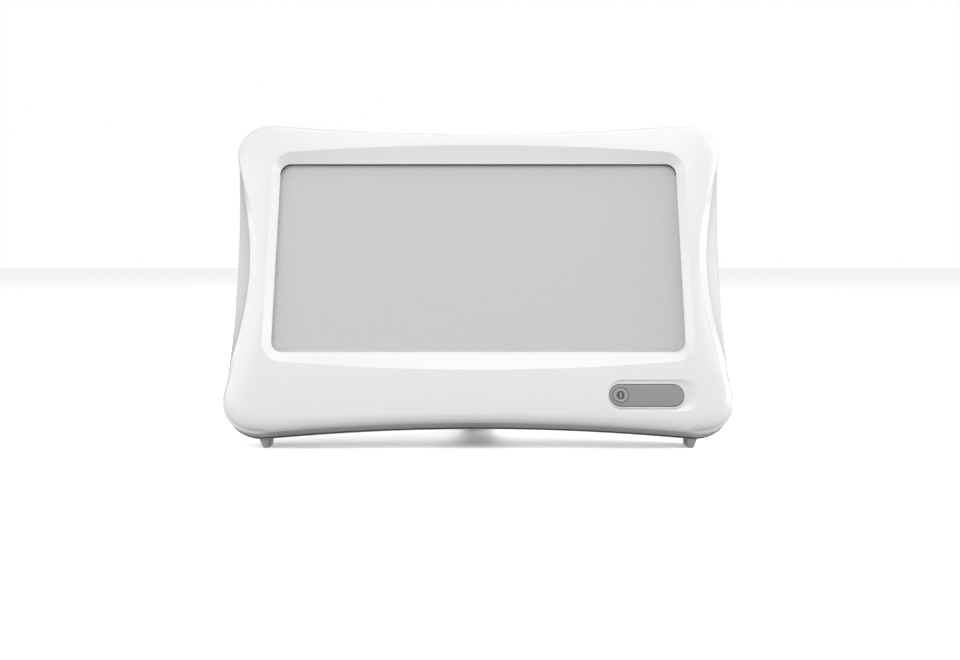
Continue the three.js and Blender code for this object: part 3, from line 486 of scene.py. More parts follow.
@dataclass(frozen=True)
class Samples:
    """Where the points lie round an outline, the same for every ring.

    The sizes are facets on each corner and side. The lower side has fine facets along the finger
    recess, between the shares fine_from and fine_to of its length.
    """

    corner: int = 42
    long_side: int = 50
    short_side: int = 64
    low_side: int = 56
    fine: int = 130
    fine_from: float = 0.74
    fine_to: float = 0.99

    def table(self) -> Array:
        """Works out, for each point, the two corners it lies between and its angle.

        Each point is (1 - t) P0 + t P1 with P = sign (half - radius) + radius (cos, sin). On a
        corner t is zero and the angle turns, and on a side the angle stays and t runs.

        Returns:
            Array of points by seven: two corner signs, two next corner signs, t, cosine and sine.
        """
        corners = [(1, 1), (-1, 1), (-1, -1), (1, -1)]
        coarse = np.linspace(0, self.fine_from, self.low_side, endpoint=False)
        fine = np.linspace(self.fine_from, self.fine_to, self.fine, endpoint=False)
        low = np.concatenate([coarse, fine, np.linspace(self.fine_to, 1, 5)])[1:-1]
        top = np.linspace(0, 1, self.long_side + 1)[1:-1]
        side = np.linspace(0, 1, self.short_side + 1)[1:-1]
        rows = []
        for k, runs in enumerate((top, side, low, side)):
            here, after = corners[k], corners[(k + 1) % 4]
            angles = (k + np.linspace(0, 1, self.corner + 1)) * math.pi / 2
            turn, run = np.zeros((len(angles), 7)), np.zeros((len(runs), 7))
            turn[:, 0:4], turn[:, 5], turn[:, 6] = (*here, *here), np.cos(angles), np.sin(angles)
            end = (k + 1) * math.pi / 2
            run[:, 0:4], run[:, 4], run[:, 5:7] = (*here, *after), runs, (math.cos(end), math.sin(end))
            rows += [turn, run]
        return np.concatenate(rows)

    def top(self) -> Array:
        """The rows of the top side with its two corners."""
        rows = self.table()
        return rows[(rows[:, 1] == 1) & (rows[:, 3] == 1)]


def outline_grid(rows: Array, table: Array) -> Array:
    """Points of many outlines at once.

    A point of the plain rounded rectangle is scaled by one less the pinch share times one less
    the squared height share, and the same across, so that each side is drawn in by a parabola.
    The short sides' parabola is raised to the outline's ease.

    Args:
        rows: rings by eight sizes.
        table: points by seven, from Samples.

    Returns:
        Array of rings, points and three coordinates in the housing's frame.
    """
    half_w, half_h, pinch_w, pinch_h, radius, rise, depth, ease = (rows[:, i : i + 1] for i in range(8))
    sx, sz, nx, nz, t, cosine, sine = table.T
    x = ((1 - t) * sx + t * nx) * (half_w - radius) + radius * cosine
    z = ((1 - t) * sz + t * nz) * (half_h - radius) + radius * sine
    across = x * (1 - pinch_w / half_w * np.clip(1 - (z / half_h) ** 2, 0, 1) ** ease)
    up = rise + z * (1 - pinch_h / half_h * (1 - (x / half_w) ** 2))
    return np.stack([across, np.broadcast_to(depth, across.shape), up], axis=-1)


@dataclass
class Housing:
    """Sizes that every moulded piece of the housing shares, in millimetres.

    The outlines are the outer edges of the front's fillet, of the front moulding at the parting
    line and of the flat back, then the window at the foot of its bevel, and the bevel's outer edge.
    """

    lean: float = math.radians(16)
    seam: float = 0.3
    wall: float = 2.4
    crown: float = 1.5
    front: Outline = Outline(167, 107.2, 18.3, 9.3, 31.5, 0, 7.5, 1.7)
    parting: Outline = Outline(168.3, 107.9, 6.9, 9.6, 32, 0, 26)
    back: Outline = Outline(142, 84, 5, 5.5, 30, 0, 49)
    face_ease: float = 2.3
    window: Outline = Outline(132.5, 64, 0, 0, 7, 11.1, 4.3)
    bevel: Outline = Outline(137.5, 70.1, 0, -5.9, 12, 11.1)
    panel_half: float = 1.5
    wall_power: float = 1.25
    lip: float = 2.4
    rebate_width: float = 2.3
    rebate_depth: float = 2.1
    fillet_width: float = 11.0
    fillet_side: float = 5.85
    fillet_top: float = 5.8
    scoop_width: float = 5.7
    scoop_rise: float = 4.3
    scoop_reach: float = 69.5
    scoop_least: float = 0.15
    lip_width: float = 2.1
    lip_depth: float = 1.5
    seam_width: float = 0.6
    seam_under: float = 0.3
    seam_depth: float = 1.5
    rim_proud: float = 0.5
    rim_depth: float = 4.0
    shoulder_depth: float = 10.0
    shoulder_taper: float = 2.6
    origin: Array = field(init=False)

    def __post_init__(self) -> None:
        """Finds the housing's origin from the middle of the diffuser's box."""
        low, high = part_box("diffuser_panel")
        middle = (np.array(low) + np.array(high)) / 2 / MM
        depth = self.window.depth + self.lip + self.seam + self.panel_half
        self.origin = middle - self.turned(np.array([0.0, depth, self.window.rise]))

    def turned(self, points: Array) -> Array:
        """Leans points back: y and z turn by the lean about the x axis.

        Args:
            points: array that ends in three coordinates.

        Returns:
            The leaning points.
        """
        x, y, z = points[..., 0], points[..., 1], points[..., 2]
        cosine, sine = math.cos(self.lean), math.sin(self.lean)
        return np.stack([x, y * cosine + z * sine, z * cosine - y * sine], axis=-1)

    def solid(self, name: str, points: Array, looped: bool = False) -> Object:
        """Makes a closed object from rings of points in the housing's frame."""
        return mesh_from_grid(name, (self.turned(points) + self.origin) * MM, looped)

    def layered(self, name: str, rings: list[Array], depths: list[float], looped: bool = False) -> Object:
        """Makes a closed object from rings of x and z, each set at its depth."""
        points = [np.insert(ring, 1, depth, axis=1) for ring, depth in zip(rings, depths)]
        return self.solid(name, np.stack(points), looped)

    def wall_rows(self, share: Array, depth: Array) -> Array:
        """Rings of the front moulding's side wall, whose pinch eases off to the back.

        Args:
            share: how far back each ring lies.
            depth: each ring's depth.

        Returns:
            One row of sizes for each ring.
        """
        rows = mixed(self.front, self.parting, share, depth)
        fall = self.parting.pinch_w - self.front.pinch_w
        rows[:, PINCH_W] = self.front.pinch_w + fall * share**self.wall_power
        return rows

    @property
    def face_edge(self) -> Outline:
        """Edge of the crowned face, where the fillet starts."""
        front, width = self.front, self.fillet_width
        return front.shrunk(
            width,
            pinch_w=front.pinch_w - width + self.fillet_side,
            pinch_h=front.pinch_h - width + self.fillet_top,
            radius=front.radius - width / 2,
            depth=self.crown,
            ease=self.face_ease,
        )


HOUSING = Housing()


@dataclass
class FrontShell:
    """Front moulding: lip, bevel, crowned face, fillet and scooped side walls, in millimetres.

    The heel sizes say where the lip of the lower corners starts, out from the middle and down from
    it, and how far it takes to grow. A face narrower than crown_run is flatter. The side wall
    starts wall_start lips behind the front edge.
    """

    house: Housing
    control: "Control"
    samples: Samples = Samples()
    face_rings: int = 84
    fillet_rings: int = 16
    wall_rings: int = 12
    band_rings: int = 5
    wall_start: float = 1.5
    crown_run: float = 18.0
    lip_round: float = 0.25
    foot_share: float = 0.03
    edge_share: float = 0.12
    heel_x: Pair = (128.0, 12.0)
    heel_z: Pair = (56.0, 22.0)
    scoop_high: int = 3
    scoop_low: int = 6
    band_power: float = 0.7
    steepest: float = 0.4
    # Sizes of the dark strips that paint shade behind the window's lip and in the seam
    shade_strip_gap: float = 0.05
    seam_strip_sunk: float = 0.03
    seam_strip_inset: float = 0.3
    seam_strip_width: float = 1.4

    @cached_property
    def table(self) -> Array:
        """The table of the points round every ring."""
        return self.samples.table()

    def bevel_rows(self) -> Array:
        """Sizes of the bevel's rings: groove and lip, steep foot, straight slope, round edge.

        Returns:
            One row for each ring, from the back of the lip to the outer edge of the bevel.
        """
        house = self.house
        window, edge = house.window, house.bevel
        ledge, foot = window.depth + house.lip, self.foot_share
        groove, rebate = window.inset(-house.rebate_width), ledge - house.rebate_depth
        slope = np.linspace(2 * foot, 1 - self.edge_share, 4)
        turn = np.linspace(0, 1, 7)[1:]
        rise = (1 - turn) ** 2 * window.depth * self.edge_share
        share = 1 - (1 - turn) ** 2 * self.edge_share
        return np.concatenate(
            [
                rows_at([groove, groove], [ledge, rebate]),
                rows_at([window, window], [rebate, window.depth + self.lip_round]),
                mixed(window, edge, np.array([0, foot]), window.depth * np.array([1, 1 - 2 * foot])),
                mixed(window, edge, slope, window.depth * (1 - slope)),
                mixed(window, edge, share, rise),
            ]
        )

    def span(self, first: Outline, last: Outline) -> tuple[Array, Array, Array]:
        """Points of two outlines, and the distance between them at each point."""
        near, far = outline_grid(np.stack([first.row(), last.row()]), self.table)
        return near, far, np.hypot(far[:, 0] - near[:, 0], far[:, 2] - near[:, 2])

    def crown_depth(self) -> tuple[Array, Array]:
        """How far the face falls away at each point, and how steeply it ends.

        Returns:
            The depth and the slope at the face's edge.
        """
        house = self.house
        _, _, width = self.span(house.bevel, house.face_edge)
        depth = house.crown * np.clip(width / self.crown_run, 0, 1) ** 2
        return depth, 2 * depth / width

    def face_grid(self) -> Array:
        """Points of the face, whose depth grows with the square of the way out.

        Returns:
            Array of rings, points and three coordinates.
        """
        t = np.linspace(0, 1, self.face_rings)[1:]
        grid = outline_grid(mixed(self.house.bevel, self.house.face_edge, t, t), self.table)
        grid[..., 1] = self.crown_depth()[0][None, :] * t[:, None] ** 2
        grid[..., 1] += self.control.recess(grid[..., 0], grid[..., 2])
        return grid

    def heel_share(self, points: Array) -> Array:
        """How fully each point of an outline takes part in the lip of the lower corners.

        Args:
            points: points of one ring.

        Returns:
            One at the lower corners, zero at the sides, the top and the middle of the lower edge.
        """
        (out, out_run), (down, down_run) = self.heel_x, self.heel_z
        share = np.clip((-points[:, 2] - down) / down_run, 0, 1)
        share = share * np.clip((np.abs(points[:, 0]) - out) / out_run, 0, 1)
        return share * share * (3 - 2 * share)

    def scoop_share(self, points: Array) -> Array:
        """How fully each point takes part in the scoop of its short side."""
        height = np.clip(np.abs(points[:, 2]) / self.house.scoop_reach, 0, 1)
        return np.where(points[:, 2] > 0, 1 - height**self.scoop_high, 1 - height**self.scoop_low)

    def band_width(self, points: Array) -> Array:
        """Width of the flat band outside the fillet.

        The scoops' bands are widest in the middle of the short sides. They end in a point at the
        top, and run on round the lower corners as a narrow lip.

        Args:
            points: points of one ring.

        Returns:
            The width at each point.
        """
        house = self.house
        lip = house.lip_width * self.heel_share(points)
        width = np.hypot(house.scoop_width * self.scoop_share(points) ** self.band_power, lip)
        return np.maximum(house.scoop_least, width)

    def edge_depth(self, points: Array) -> Array:
        """Depth of the front edge, which comes forward along the scoops."""
        return self.house.front.depth - self.house.scoop_rise * self.scoop_share(points)

    def fillet_grid(self) -> Array:
        """Points of the fillet: an elliptical round that the scoops cut to a flat band.

        The round starts at the slope of the face. At the lower corners it turns right down to a
        crease, from which the band rises as a lip that faces forward.

        Returns:
            Array of rings, points and three coordinates.
        """
        house = self.house
        near, far, run = self.span(house.face_edge, house.front)
        depth, slope = self.crown_depth()
        fall = self.edge_depth(far) - depth
        share = self.heel_share(far)
        reach = 1 - self.band_width(far) / run
        steep = np.clip(slope * run / fall, 0, self.steepest)
        first = steep / (1 - steep)
        step = np.linspace(0, 1, self.fillet_rings)[1:, None]
        start, last, full = np.arcsin(first), np.arcsin(first + (1 - first) * reach), math.pi / 2
        angle, turn = start + step * (last - start), start + step * (full - start)
        level = np.cos(start)
        out = (np.sin(angle) - first) * (1 - share) + (np.sin(turn) - first) * reach * share
        down = (level - np.cos(angle)) * (1 - share) + (level - np.cos(turn)) * share
        out = (out / (1 - first))[..., None]
        arc = near[None] * (1 - out) + far[None] * out
        arc[..., 1] = depth + fall * down / level
        far[:, 1] = self.edge_depth(far) + house.lip_depth * share
        step = np.linspace(0, 1, self.band_rings)[1:, None, None]
        return np.concatenate([arc, arc[-1][None] * (1 - step) + far[None] * step])

    def wall_grid(self) -> Array:
        """Points of the side wall, from behind the front edge to the parting edge.

        Returns:
            Array of rings, points and three coordinates.
        """
        house = self.house
        run = house.parting.depth - house.front.depth
        t = np.linspace(self.wall_start * house.lip_depth / run, 1, self.wall_rings)
        grid = outline_grid(house.wall_rows(t, t), self.table)
        near = self.edge_depth(outline_grid(house.front.row()[None], self.table)[0])[None, :]
        grid[..., 1] = near + (house.parting.depth - near) * t[:, None]
        return grid

    def inner_rows(self) -> Array:
        """Sizes of the inside's rings.

        Returns:
            One row for each ring, from the parting edge back up to the lip.
        """
        house = self.house
        t = np.linspace(1, 0, 6)
        depth = house.front.depth + (house.parting.depth - house.front.depth) * t
        wall = house.wall_rows(t, depth)
        wall[:, SIZES] -= house.wall + house.lip_width
        corner = house.face_edge.inset(0, house.wall).row()[None]
        ledge = mixed(house.bevel, house.face_edge, 0.3, house.window.depth + house.lip)
        return np.concatenate([wall, corner, ledge])

    def build(self) -> None:
        """Builds the front moulding, with the hole for the pill."""
        bevel = outline_grid(self.bevel_rows(), self.table)
        inner = outline_grid(self.inner_rows(), self.table)
        grid = [bevel, self.face_grid(), self.fillet_grid(), self.wall_grid(), inner]
        obj = self.house.solid("front_shell", np.concatenate(grid), True)
        carve(obj, [self.control.hole()])
        dress(obj, SHELL, "white_shell", "front_bezel", degrees=24)

    def strip(self, name: str, edges: tuple, front: float, back: float, closed: bool) -> None:
        """Builds a strip with a square section, all round or along the top and its corners.

        Args:
            name: the strip's name.
            edges: its inner and outer outline.
            front: depth of its front.
            back: depth of its back.
            closed: it runs all round.
        """
        inner, outer = edges
        rows = rows_at([inner, outer, outer, inner], [front, front, back, back])
        samples = replace(self.samples, fine=40, low_side=30, long_side=40, corner=24)
        table = samples.table() if closed else samples.top()
        obj = self.house.solid(name, outline_grid(rows, table).transpose(1, 0, 2), closed)
        # The strip's dark grey is painted shade
        dress(obj, SHADE_STRIP, "black_plastic")

    def shade_strips(self) -> None:
        """Builds dark strips that paint shade: one behind the window's upper lip, for the lip's shadow on
        the panel, and one in the shells' seam, for the shadow line along the seam.

        The seam strip lies below the surface at the sides, and stands a little proud above and below.
        """
        house, gap = self.house, self.shade_strip_gap
        front = house.window.depth + house.lip - house.rebate_depth + gap
        back = house.window.depth + house.lip + house.seam - gap
        edges = house.window.inset(-gap), house.window.inset(gap - house.rebate_width)
        self.strip("panel_shade_strip", edges, front, back, False)
        # The seam strip paints the dark shadow line along the shells' seam
        front = house.parting.depth + self.seam_strip_sunk
        back = front + house.seam + house.seam_width - 2 * gap
        proud = house.parting.half_h + house.rim_proud - gap
        outer = replace(house.parting.inset(self.seam_strip_inset), half_h=proud)
        edges = house.parting.inset(self.seam_strip_width), outer
        self.strip("seam_shade_strip", edges, front, back, True)


def slot_ring(left: float, right: float, height: float, rise: float, steps: int) -> Array:
    """Points round a slot with round ends, which are half circles.

    Args:
        left: left end.
        right: right end.
        height: width of the slot.
        rise: height of its middle.
        steps: points on each end.

    Returns:
        Array of points, as x and z.
    """
    r = height / 2
    angle = np.linspace(-math.pi / 2, math.pi / 2, steps)
    ends = [(right - r, angle), (left + r, angle + math.pi)]
    return np.concatenate([np.stack([x + r * np.cos(a), rise + r * np.sin(a)], axis=1) for x, a in ends])


def round_ring(x: float, z: float, radius: float, steps: int) -> Array:
    """Points round a circle, as x and z."""
    angle = np.linspace(0, TURN, steps, endpoint=False)
    return np.stack([x + radius * np.cos(angle), z + radius * np.sin(angle)], axis=1)


@dataclass
class Control:
    """Finger recess, grey pill and round push button, in millimetres.

    The surround's section lists how far its points lie out from the pill and below its crest.
    """

    house: Housing
    x: float = 109.7
    z: float = -81.2
    width: float = 58.0
    height: float = 19.7
    depth: float = 1.9
    ramp: float = 9.0
    slope: float = 5.2
    recess_power: float = 1.2
    pill_length: float = 46.6
    pill_height: float = 13.8
    pill_gap: float = 1.7
    pill_sunk: float = 0.2
    pill_roll: float = 0.7
    pill_steps: int = 40
    hole_gap: float = 0.28
    hole_back: float = 3.0
    surround_sunk: float = 0.1
    surround_section: tuple = ((0.3, 0.25), (0.45, 0.0), (0.85, 0.0), (1.1, 0.3))
    surround_out: float = 1.4
    surround_root: float = 0.4
    button_steps: int = 96
    button_radius: float = 4.4
    button_proud: float = 0.35
    groove: float = 0.6
    ring_inner: float = 2.75
    ring_high: float = 0.45
    well_depth: float = 1.0
    well_edge: float = 0.1
    well_foot: float = 0.35
    well_gap: float = 0.12
    floor_inset: float = 0.25
    floor_back: float = 0.4
    hub_radius: float = 0.05
    cap_side: float = 0.9
    cap_back: float = 3.0
    stem_front: float = 3.1
    stem_radius: float = 1.8
    stem_length: float = 8.2
    bar_length: float = 3.5
    bar_width: float = 1.15
    bar_high: float = 0.75
    bar_round: float = 0.15
    bar_top: float = 0.88
    bar_root: float = 0.2
    clear: float = 2.0

    def __post_init__(self) -> None:
        """Places the recess, the pill's left end and face, and the button's middle."""
        self.left, self.right = self.x - self.width / 2, self.x + self.width / 2
        self.pill_left = self.left + self.pill_gap
        self.pill_front = self.house.crown / 2 + self.pill_sunk
        self.button_x = self.pill_left + self.pill_height / 2

    def recess(self, x: Array, z: Array) -> Array:
        """Depth of the finger recess below the face.

        With a the distance inside the rim, b the distance outside the floor, s = a / (a + b) and
        p the power, the depth is the full depth times s to the power p times 1 + p - p s. So the
        wall is steep where rim and floor are close, and a long ramp where they part.

        Args:
            x: places across the face.
            z: places up the face.

        Returns:
            The depth at each place.
        """
        rim = self.slot_distance(x, z, self.left, self.right, self.height)
        near, far = self.left + self.slope / 3, self.right - self.ramp
        floor = self.slot_distance(x, z, near, far, self.height - self.slope)
        inside, outside = np.clip(-rim, 0, None), np.clip(floor, 0, None)
        share, power = inside / np.maximum(inside + outside, 1e-6), self.recess_power
        return self.depth * share**power * (1 + power - power * share)

    def slot_distance(self, x: Array, z: Array, left: float, right: float, high: float) -> Array:
        """Distance from a slot's edge, negative inside it."""
        along = x - np.clip(x, left + high / 2, right - high / 2)
        return np.hypot(along, z - self.z) - high / 2

    def pill_rings(self, name: str, profile: list[Pair], looped: bool = False) -> Object:
        """Makes a piece from rings that run along the pill's edge.

        Args:
            name: the object's name.
            profile: how far each ring is drawn in from the edge, and its depth.
            looped: the last ring joins the first.

        Returns:
            The object.
        """
        margins, depths = zip(*profile)
        left, right, high = self.pill_left, self.pill_left + self.pill_length, self.pill_height
        rings = [slot_ring(left + m, right - m, high - 2 * m, self.z, self.pill_steps) for m in margins]
        return self.house.layered(name, rings, depths, looped)

    def turned(self, name: str, profile: list[Pair]) -> Object:
        """Turns a profile of radius and depth about the button's axis."""
        rings = [round_ring(self.button_x, self.z, radius, self.button_steps) for radius, _ in profile]
        return self.house.layered(name, rings, [depth for _, depth in profile])

    def pill(self) -> None:
        """Builds the grey pill: a quarter-round edge, and a round hole for the button."""
        edge = np.linspace(0, 1, 6)
        front, back = self.pill_front, self.house.wall + self.depth
        margin = self.pill_roll * (1 - np.sin(edge * math.pi / 2))
        depth = front + self.pill_roll * (1 - np.cos(edge * math.pi / 2))
        obj = self.pill_rings("control_pill", [*zip(margin, depth), (0.0, back)])
        radius = self.button_radius + self.groove
        bore = [(radius, front - self.clear), (radius, back + self.clear)]
        carve(obj, [self.turned("button_hole", bore)])
        dress(obj, INSERT, "grey_insert", "control_insert", degrees=30)

    def hole(self) -> Object:
        """The cutter of the front moulding's hole that the pill sits in."""
        behind = self.house.window.depth + self.house.lip + self.hole_back
        return self.pill_rings("pill_hole", [(-self.hole_gap, -self.clear / 2), (-self.hole_gap, behind)])

    def surround(self) -> None:
        """Builds the thin raised edge that the front moulding has round the pill."""
        top = self.pill_front + self.surround_sunk
        low = self.house.crown / 2 + self.depth + self.surround_root
        section = [(-out, top + down) for out, down in self.surround_section]
        profile = [(section[0][0], low), *section, (-self.surround_out, low)]
        obj = self.pill_rings("control_surround", profile, True)
        dress(obj, SHELL, "white_shell", degrees=50)

    def button(self) -> None:
        """Builds the button with its half-round ring, and the floor of its sunk well."""
        face = self.pill_front - self.button_proud
        well, inner, outer = face + self.well_depth, self.ring_inner, self.button_radius
        angle = np.linspace(0, math.pi, 13)
        middle, half = (inner + outer) / 2, (outer - inner) / 2
        ring = zip(middle - half * np.cos(angle), face + self.ring_high * (1 - np.sin(angle)))
        foot, lip = (inner - self.well_foot, well), (inner - self.well_edge, well - self.well_edge)
        start = [(self.hub_radius, well), foot, lip, (inner, face + self.groove)]
        flange = outer + self.groove - self.well_edge
        side = [(outer, face + self.groove), (outer, face + self.cap_side)]
        tail = [(flange, well), (flange, well + self.cap_back)]
        stem = [(self.stem_radius, well + depth) for depth in (self.stem_front, self.stem_length)]
        cap = self.turned("push_button", [*start, *ring, *side, *tail, *stem])
        dress(cap, BUTTON, "grey_button", "power_button", body=Body.BUTTON, degrees=35)
        top, edge = well - self.well_gap, inner - self.floor_inset
        profile = [(self.hub_radius, top), (edge, top), (edge, well + self.floor_back)]
        floor = self.turned("button_well", profile)
        dress(floor, WELL, "grey_button", body=Body.BUTTON)

    def bar(self) -> None:
        """Builds the upright bar of the generic power mark, with round ends."""
        well, half = self.pill_front - self.button_proud + self.well_depth, self.bar_length / 2
        flat = slot_ring(-half, half, self.bar_width, 0.0, 16)[:, ::-1]
        middle = np.array([self.button_x, self.z])
        rings = [middle + flat * self.bar_top, middle + flat, middle + flat]
        near = well - self.bar_high
        depths = [near, near + self.bar_round, well + self.bar_root]
        obj = self.house.layered("button_bar", rings, depths)
        dress(obj, BUTTON, "grey_button", body=Body.BUTTON)


@dataclass
class RearShell:
    """Rear cover: deep shell with a leg pocket, vents, screw wells and inlet, in millimetres."""

    house: Housing
    samples: Samples = Samples(22, 60, 44, 30, 26)
    round_rings: int = 22
    pocket_half: float = 14.6
    pocket_low: float = -90.8
    pocket_high: float = -7.3
    pocket_floor: float = 39.8
    pocket_corner: float = 1.5
    pocket_foot: float = 0.6
    notch_radius: float = 11.0
    notch_depth: float = 8.0
    vent_count: int = 9
    vent_pitch: float = 8.6
    vent_length: float = 24.0
    vent_width: float = 2.6
    vent_x: float = 84.0
    vent_z: float = 58.0
    vent_depth: float = 6.0
    vent_lip: float = 0.5
    vent_flare: float = 1.0
    jack_x: float = 88.0
    jack_z: float = -62.0
    jack_hole: float = 4.5
    jack_depth: float = 12.0
    screw_hole: float = 3.4
    screw_seat: float = 32.3
    screw_places: tuple = ((147, 82), (-147, 82), (147, -82), (-147, -82), (56, -88), (-56, -88))
    clear: float = 3.0

    def rows(self) -> Array:
        """Sizes of the rings: seam groove, rim, taper, and the elliptical round to the flat back.

        Returns:
            One row for each ring.
        """
        house = self.house
        start = replace(house.parting, depth=house.parting.depth + house.seam)
        rim, groove = start.inset(-house.rim_proud), start.inset(house.seam_depth)
        shoulder = start.inset(house.shoulder_taper, house.shoulder_depth)
        lead = np.linspace(0, 1, 6)
        seam = [start.depth - house.seam_width * house.seam_under, start.depth + house.seam_width]
        edge = start.depth + house.seam_width + (house.rim_depth - house.seam_width) * lead
        taper = start.depth + house.rim_depth + (house.shoulder_depth - house.rim_depth) * lead[1:-1]
        angle = np.linspace(0, 1, self.round_rings) * math.pi / 2
        last = shoulder.depth + (house.back.depth - shoulder.depth) * np.sin(angle)
        return np.concatenate(
            [
                rows_at([groove, groove], seam),
                mixed(rim, rim, lead, edge),
                mixed(rim, shoulder, lead[1:-1], taper),
                mixed(shoulder, house.back, 1 - np.cos(angle), last),
            ]
        )

    def vent(self, x: float) -> Object:
        """Makes the cutter of one vent slot, with a flared mouth.

        Args:
            x: place of the slot across the back.

        Returns:
            The cutter.
        """
        back, rings = self.house.back.depth, []
        for flare in (0.0, 0.0, self.vent_flare):
            half = self.vent_length / 2 + flare
            flat = slot_ring(-half, half, self.vent_width + 2 * flare, 0.0, 12)
            rings.append(np.array([x, self.vent_z]) + flat[:, ::-1])
        depths = [back - self.vent_depth, back - self.vent_lip, back + self.vent_lip]
        return self.house.layered("vent", rings, depths)

    def well(self, x: float, z: float, radius: float, near: float, steps: int = 40) -> Object:
        """The cutter of a round well that is open to the back."""
        ring = round_ring(x, z, radius, steps)
        return self.house.layered("well", [ring, ring], [near, self.house.back.depth + self.clear])

    def pocket(self) -> Object:
        """Makes the cutter of the leg's pocket, with rounded inner corners.

        Returns:
            The cutter.
        """
        half_h, rise = (self.pocket_high - self.pocket_low) / 2, (self.pocket_high + self.pocket_low) / 2
        edge = Outline(self.pocket_half, half_h, 0, 0, self.pocket_corner, rise)
        foot = edge.shrunk(self.pocket_foot)
        floor, mouth = self.pocket_floor, self.house.back.depth + self.clear
        rows = rows_at([foot, edge, edge], [floor, floor + self.pocket_foot, mouth])
        return self.house.solid("pocket", outline_grid(rows, Samples(6, 2, 2, 2, 2).table()))

    def build(self) -> None:
        """Builds the rear cover as a solid, then cuts its pocket, vents and wells."""
        obj = self.house.solid("rear_shell", outline_grid(self.rows(), self.samples.table()))
        back = self.house.back.depth
        cutters = [
            self.pocket(),
            self.well(0, self.pocket_high, self.notch_radius, back - self.notch_depth, 72),
            self.well(self.jack_x, self.jack_z, self.jack_hole, back - self.jack_depth),
        ]
        cutters += [self.well(x, z, self.screw_hole, self.screw_seat) for x, z in self.screw_places]
        offsets = (np.arange(self.vent_count) - (self.vent_count - 1) / 2) * self.vent_pitch
        cutters += [self.vent(side * self.vent_x + offset) for side in (-1, 1) for offset in offsets]
        carve(obj, cutters)
        dress(obj, COVER, "white_cover", "rear_cover", degrees=28)


@dataclass(frozen=True)
class Light:
    """One soft rectangular light: place and size in metres, watts, and the height of its aim."""

    name: str
    place: tuple[float, float, float]
    size: Pair
    power: float
    aim: float = 0.1


LIGHTS = (
    Light("key", (0.15, -1.2, 1.6), (1.2, 1.2), 10.7),
    Light("side", (1.5, -0.75, 0.35), (0.7, 0.7), 5.6),
    Light("strip", (1.35, -0.05, 0.5), (0.25, 1.2), 9.6),
    Light("fill", (-1.3, -1.3, 0.8), (1.4, 1.4), 13.0),
    Light("left", (-1.6, -0.3, 0.4), (0.8, 0.8), 5.4),
    Light("top", (0.1, 0.1, 1.8), (1.2, 1.2), 6.0),
    Light("low", (0, -1.9, 0.35), (1.2, 1.2), 1.4),
    Light("back", (0.1, 1.5, 0.5), (1.4, 1.4), 12.0, 0.05),
)


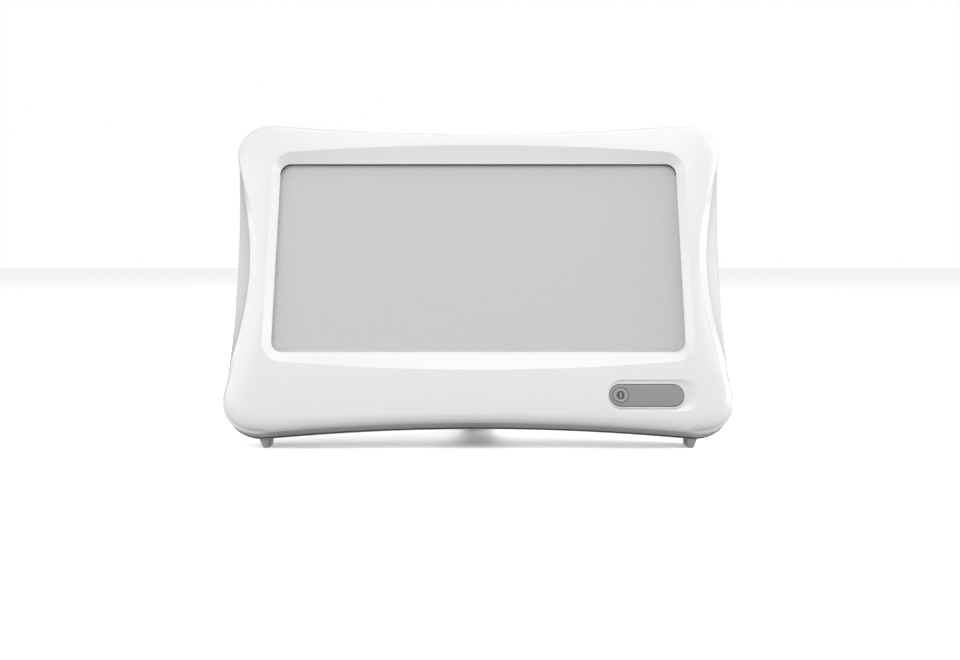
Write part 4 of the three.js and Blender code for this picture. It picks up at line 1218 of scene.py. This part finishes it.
@dataclass
class Stage:
    """Floor, lights, world and camera, in metres.

    The camera sees the floor floor_gain bright under the lamp and floor_far times as bright beyond the
    distances in painted_shade_fade, where the way across counts only floor_share as much. The lower gain
    near the lamp is painted shade: it darkens the floor round the lamp beyond its own shadow.
    The lamp sees the colour floor_bounce, and a world as strong as glow.
    """

    house: Housing
    floor_size: float = 40.0
    floor_bounce: str = "b4b4b4"
    floor_gain: float = 1.85
    floor_far: float = 3.0
    # Distances over which the painted shade near the lamp fades out
    painted_shade_fade: Pair = (0.036, 0.075)
    floor_share: float = 0.1
    glow: float = 0.16
    camera_height: float = 0.1199
    camera_back: float = 0.6702
    lens: float = 38.81
    shift: Pair = (0.0018, -0.0708)

    def floor(self) -> None:
        """Lays the white floor, which keeps the lamp's shadow and has painted shade that darkens it near the
        lamp.
        """
        half = self.floor_size / 2
        mesh = bpy.data.meshes.new("floor")
        corners = [(-half, -half, 0), (half, -half, 0), (half, half, 0), (-half, half, 0)]
        mesh.from_pydata(corners, [], [(0, 1, 2, 3)])
        obj = place_object("floor", mesh)
        material = bpy.data.materials.new("floor_white_painted_shade")
        nodes = Nodes(material)
        away = nodes.add("VectorMath", {0: nodes.place(self.floor_share)}, "Value", operation="LENGTH")
        # The gain is lowest near the lamp: painted shade that darkens the floor round it
        near, far = self.painted_shade_fade
        fade = {"Value": away, "From Min": near, "From Max": far, "To Min": 1.0, "To Max": self.floor_far}
        gain, white = nodes.add("MapRange", fade), (*[self.floor_gain] * 3, 1.0)
        bright = nodes.mix(gain, linear("000000"), white, clamp_factor=False)
        camera = nodes.add("LightPath", out="Is Camera Ray")
        colour = nodes.mix(camera, linear(self.floor_bounce), bright)
        nodes.add("OutputMaterial", {"Surface": nodes.add("BsdfDiffuse", {"Color": colour})})
        mesh.materials.append(material)

    def world(self) -> None:
        """Lights the lamp evenly, and shows white behind it."""
        world = bpy.data.worlds.new("studio")
        bpy.context.scene.world = world
        nodes = Nodes(world)
        rays = [nodes.add("LightPath", out=f"Is {kind} Ray") for kind in ("Camera", "Transmission")]
        seen = nodes.add("Math", {0: rays[0], 1: rays[1]}, operation="MAXIMUM")
        strength = nodes.add("MapRange", {"Value": seen, "To Min": self.glow, "To Max": 1.0})
        shine = nodes.add("Background", {"Color": linear("ffffff"), "Strength": strength})
        nodes.add("OutputWorld", {"Surface": shine})

    def lamp(self, light: Light) -> None:
        """Adds one light, upright, turned to what it lights."""
        data = bpy.data.lights.new(light.name, "AREA")
        data.shape = "RECTANGLE"
        data.size, data.size_y = light.size
        data.energy = light.power
        obj = place_object(light.name, data)
        obj.location = light.place
        obj.rotation_mode = "QUATERNION"
        way = Vector((0, 0, light.aim)) - Vector(light.place)
        obj.rotation_quaternion = way.to_track_quat("-Z", "Y")

    def camera(self) -> None:
        """Sets the camera level, at the photograph's height, distance and framing."""
        data = bpy.data.cameras.new("camera")
        data.lens = self.lens
        data.sensor_width = 36.0
        data.shift_x, data.shift_y = self.shift
        obj = place_object("camera", data)
        obj.location = (0, self.house.origin[1] * MM - self.camera_back, self.camera_height)
        obj.rotation_euler = (math.pi / 2, 0, 0)
        bpy.context.scene.camera = obj

    def build(self) -> None:
        """Sets the whole stage."""
        self.floor()
        self.world()
        for light in LIGHTS:
            self.lamp(light)
        self.camera()
        bpy.context.scene.view_settings.view_transform = "Standard"


INNER_FINISHES = {
    PANEL: ("diffuser_panel",),
    FILM: ("diffuser_film",),
    REFLECTOR: ("reflector_tray",),
    LAMP_BOARD: ("led_strip",),
    STEEL: ("switch_board_screw", "tray_screw", "driver_screw", "hinge_pin"),
    BOARD: ("switch_board", "driver_board"),
    BLACK: ("tact_switch", "hinge_washer", "driver_capacitor"),
    FERRITE: ("driver_coil",),
    ALUMINIUM: ("driver_heat_sink",),
    SHEATH: ("switch_lead", "led_lead", "jack_lead"),
}


def dress_inner_nodes() -> None:
    """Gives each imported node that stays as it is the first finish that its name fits."""
    for name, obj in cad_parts.items():
        fits = [finish for finish, starts in INNER_FINISHES.items() if name.startswith(starts)]
        if fits:
            obj.data.materials.clear()
            obj.data.materials.append(material_of(fits[0]))


def soften_small_parts() -> None:
    """Dresses the small parts that show."""
    for side in ("left", "right"):
        soften(f"{side}_foot", 0.45, RUBBER, "grey_rubber")
    soften("rear_leg", 0.5, COVER, "white_cover", Body.LEG)
    soften("leg_pad", 0.4, RUBBER, "grey_rubber", Body.LEG)
    soften("dc_jack", 0.25, BLACK, "black_plastic")
    for i in range(1, 7):
        soften(f"housing_screw_{i}", 0.2, STEEL, "steel")


def main() -> None:
    """Builds every sub-assembly in order."""
    logging.basicConfig(level=logging.INFO, format="%(message)s")
    Stage(HOUSING).build()
    control = Control(HOUSING)
    shell = FrontShell(HOUSING, control=control)
    shell.build()
    shell.shade_strips()
    control.pill()
    control.surround()
    control.button()
    control.bar()
    RearShell(HOUSING).build()
    soften_small_parts()
    dress_inner_nodes()


if __name__ == "__main__":
    main()
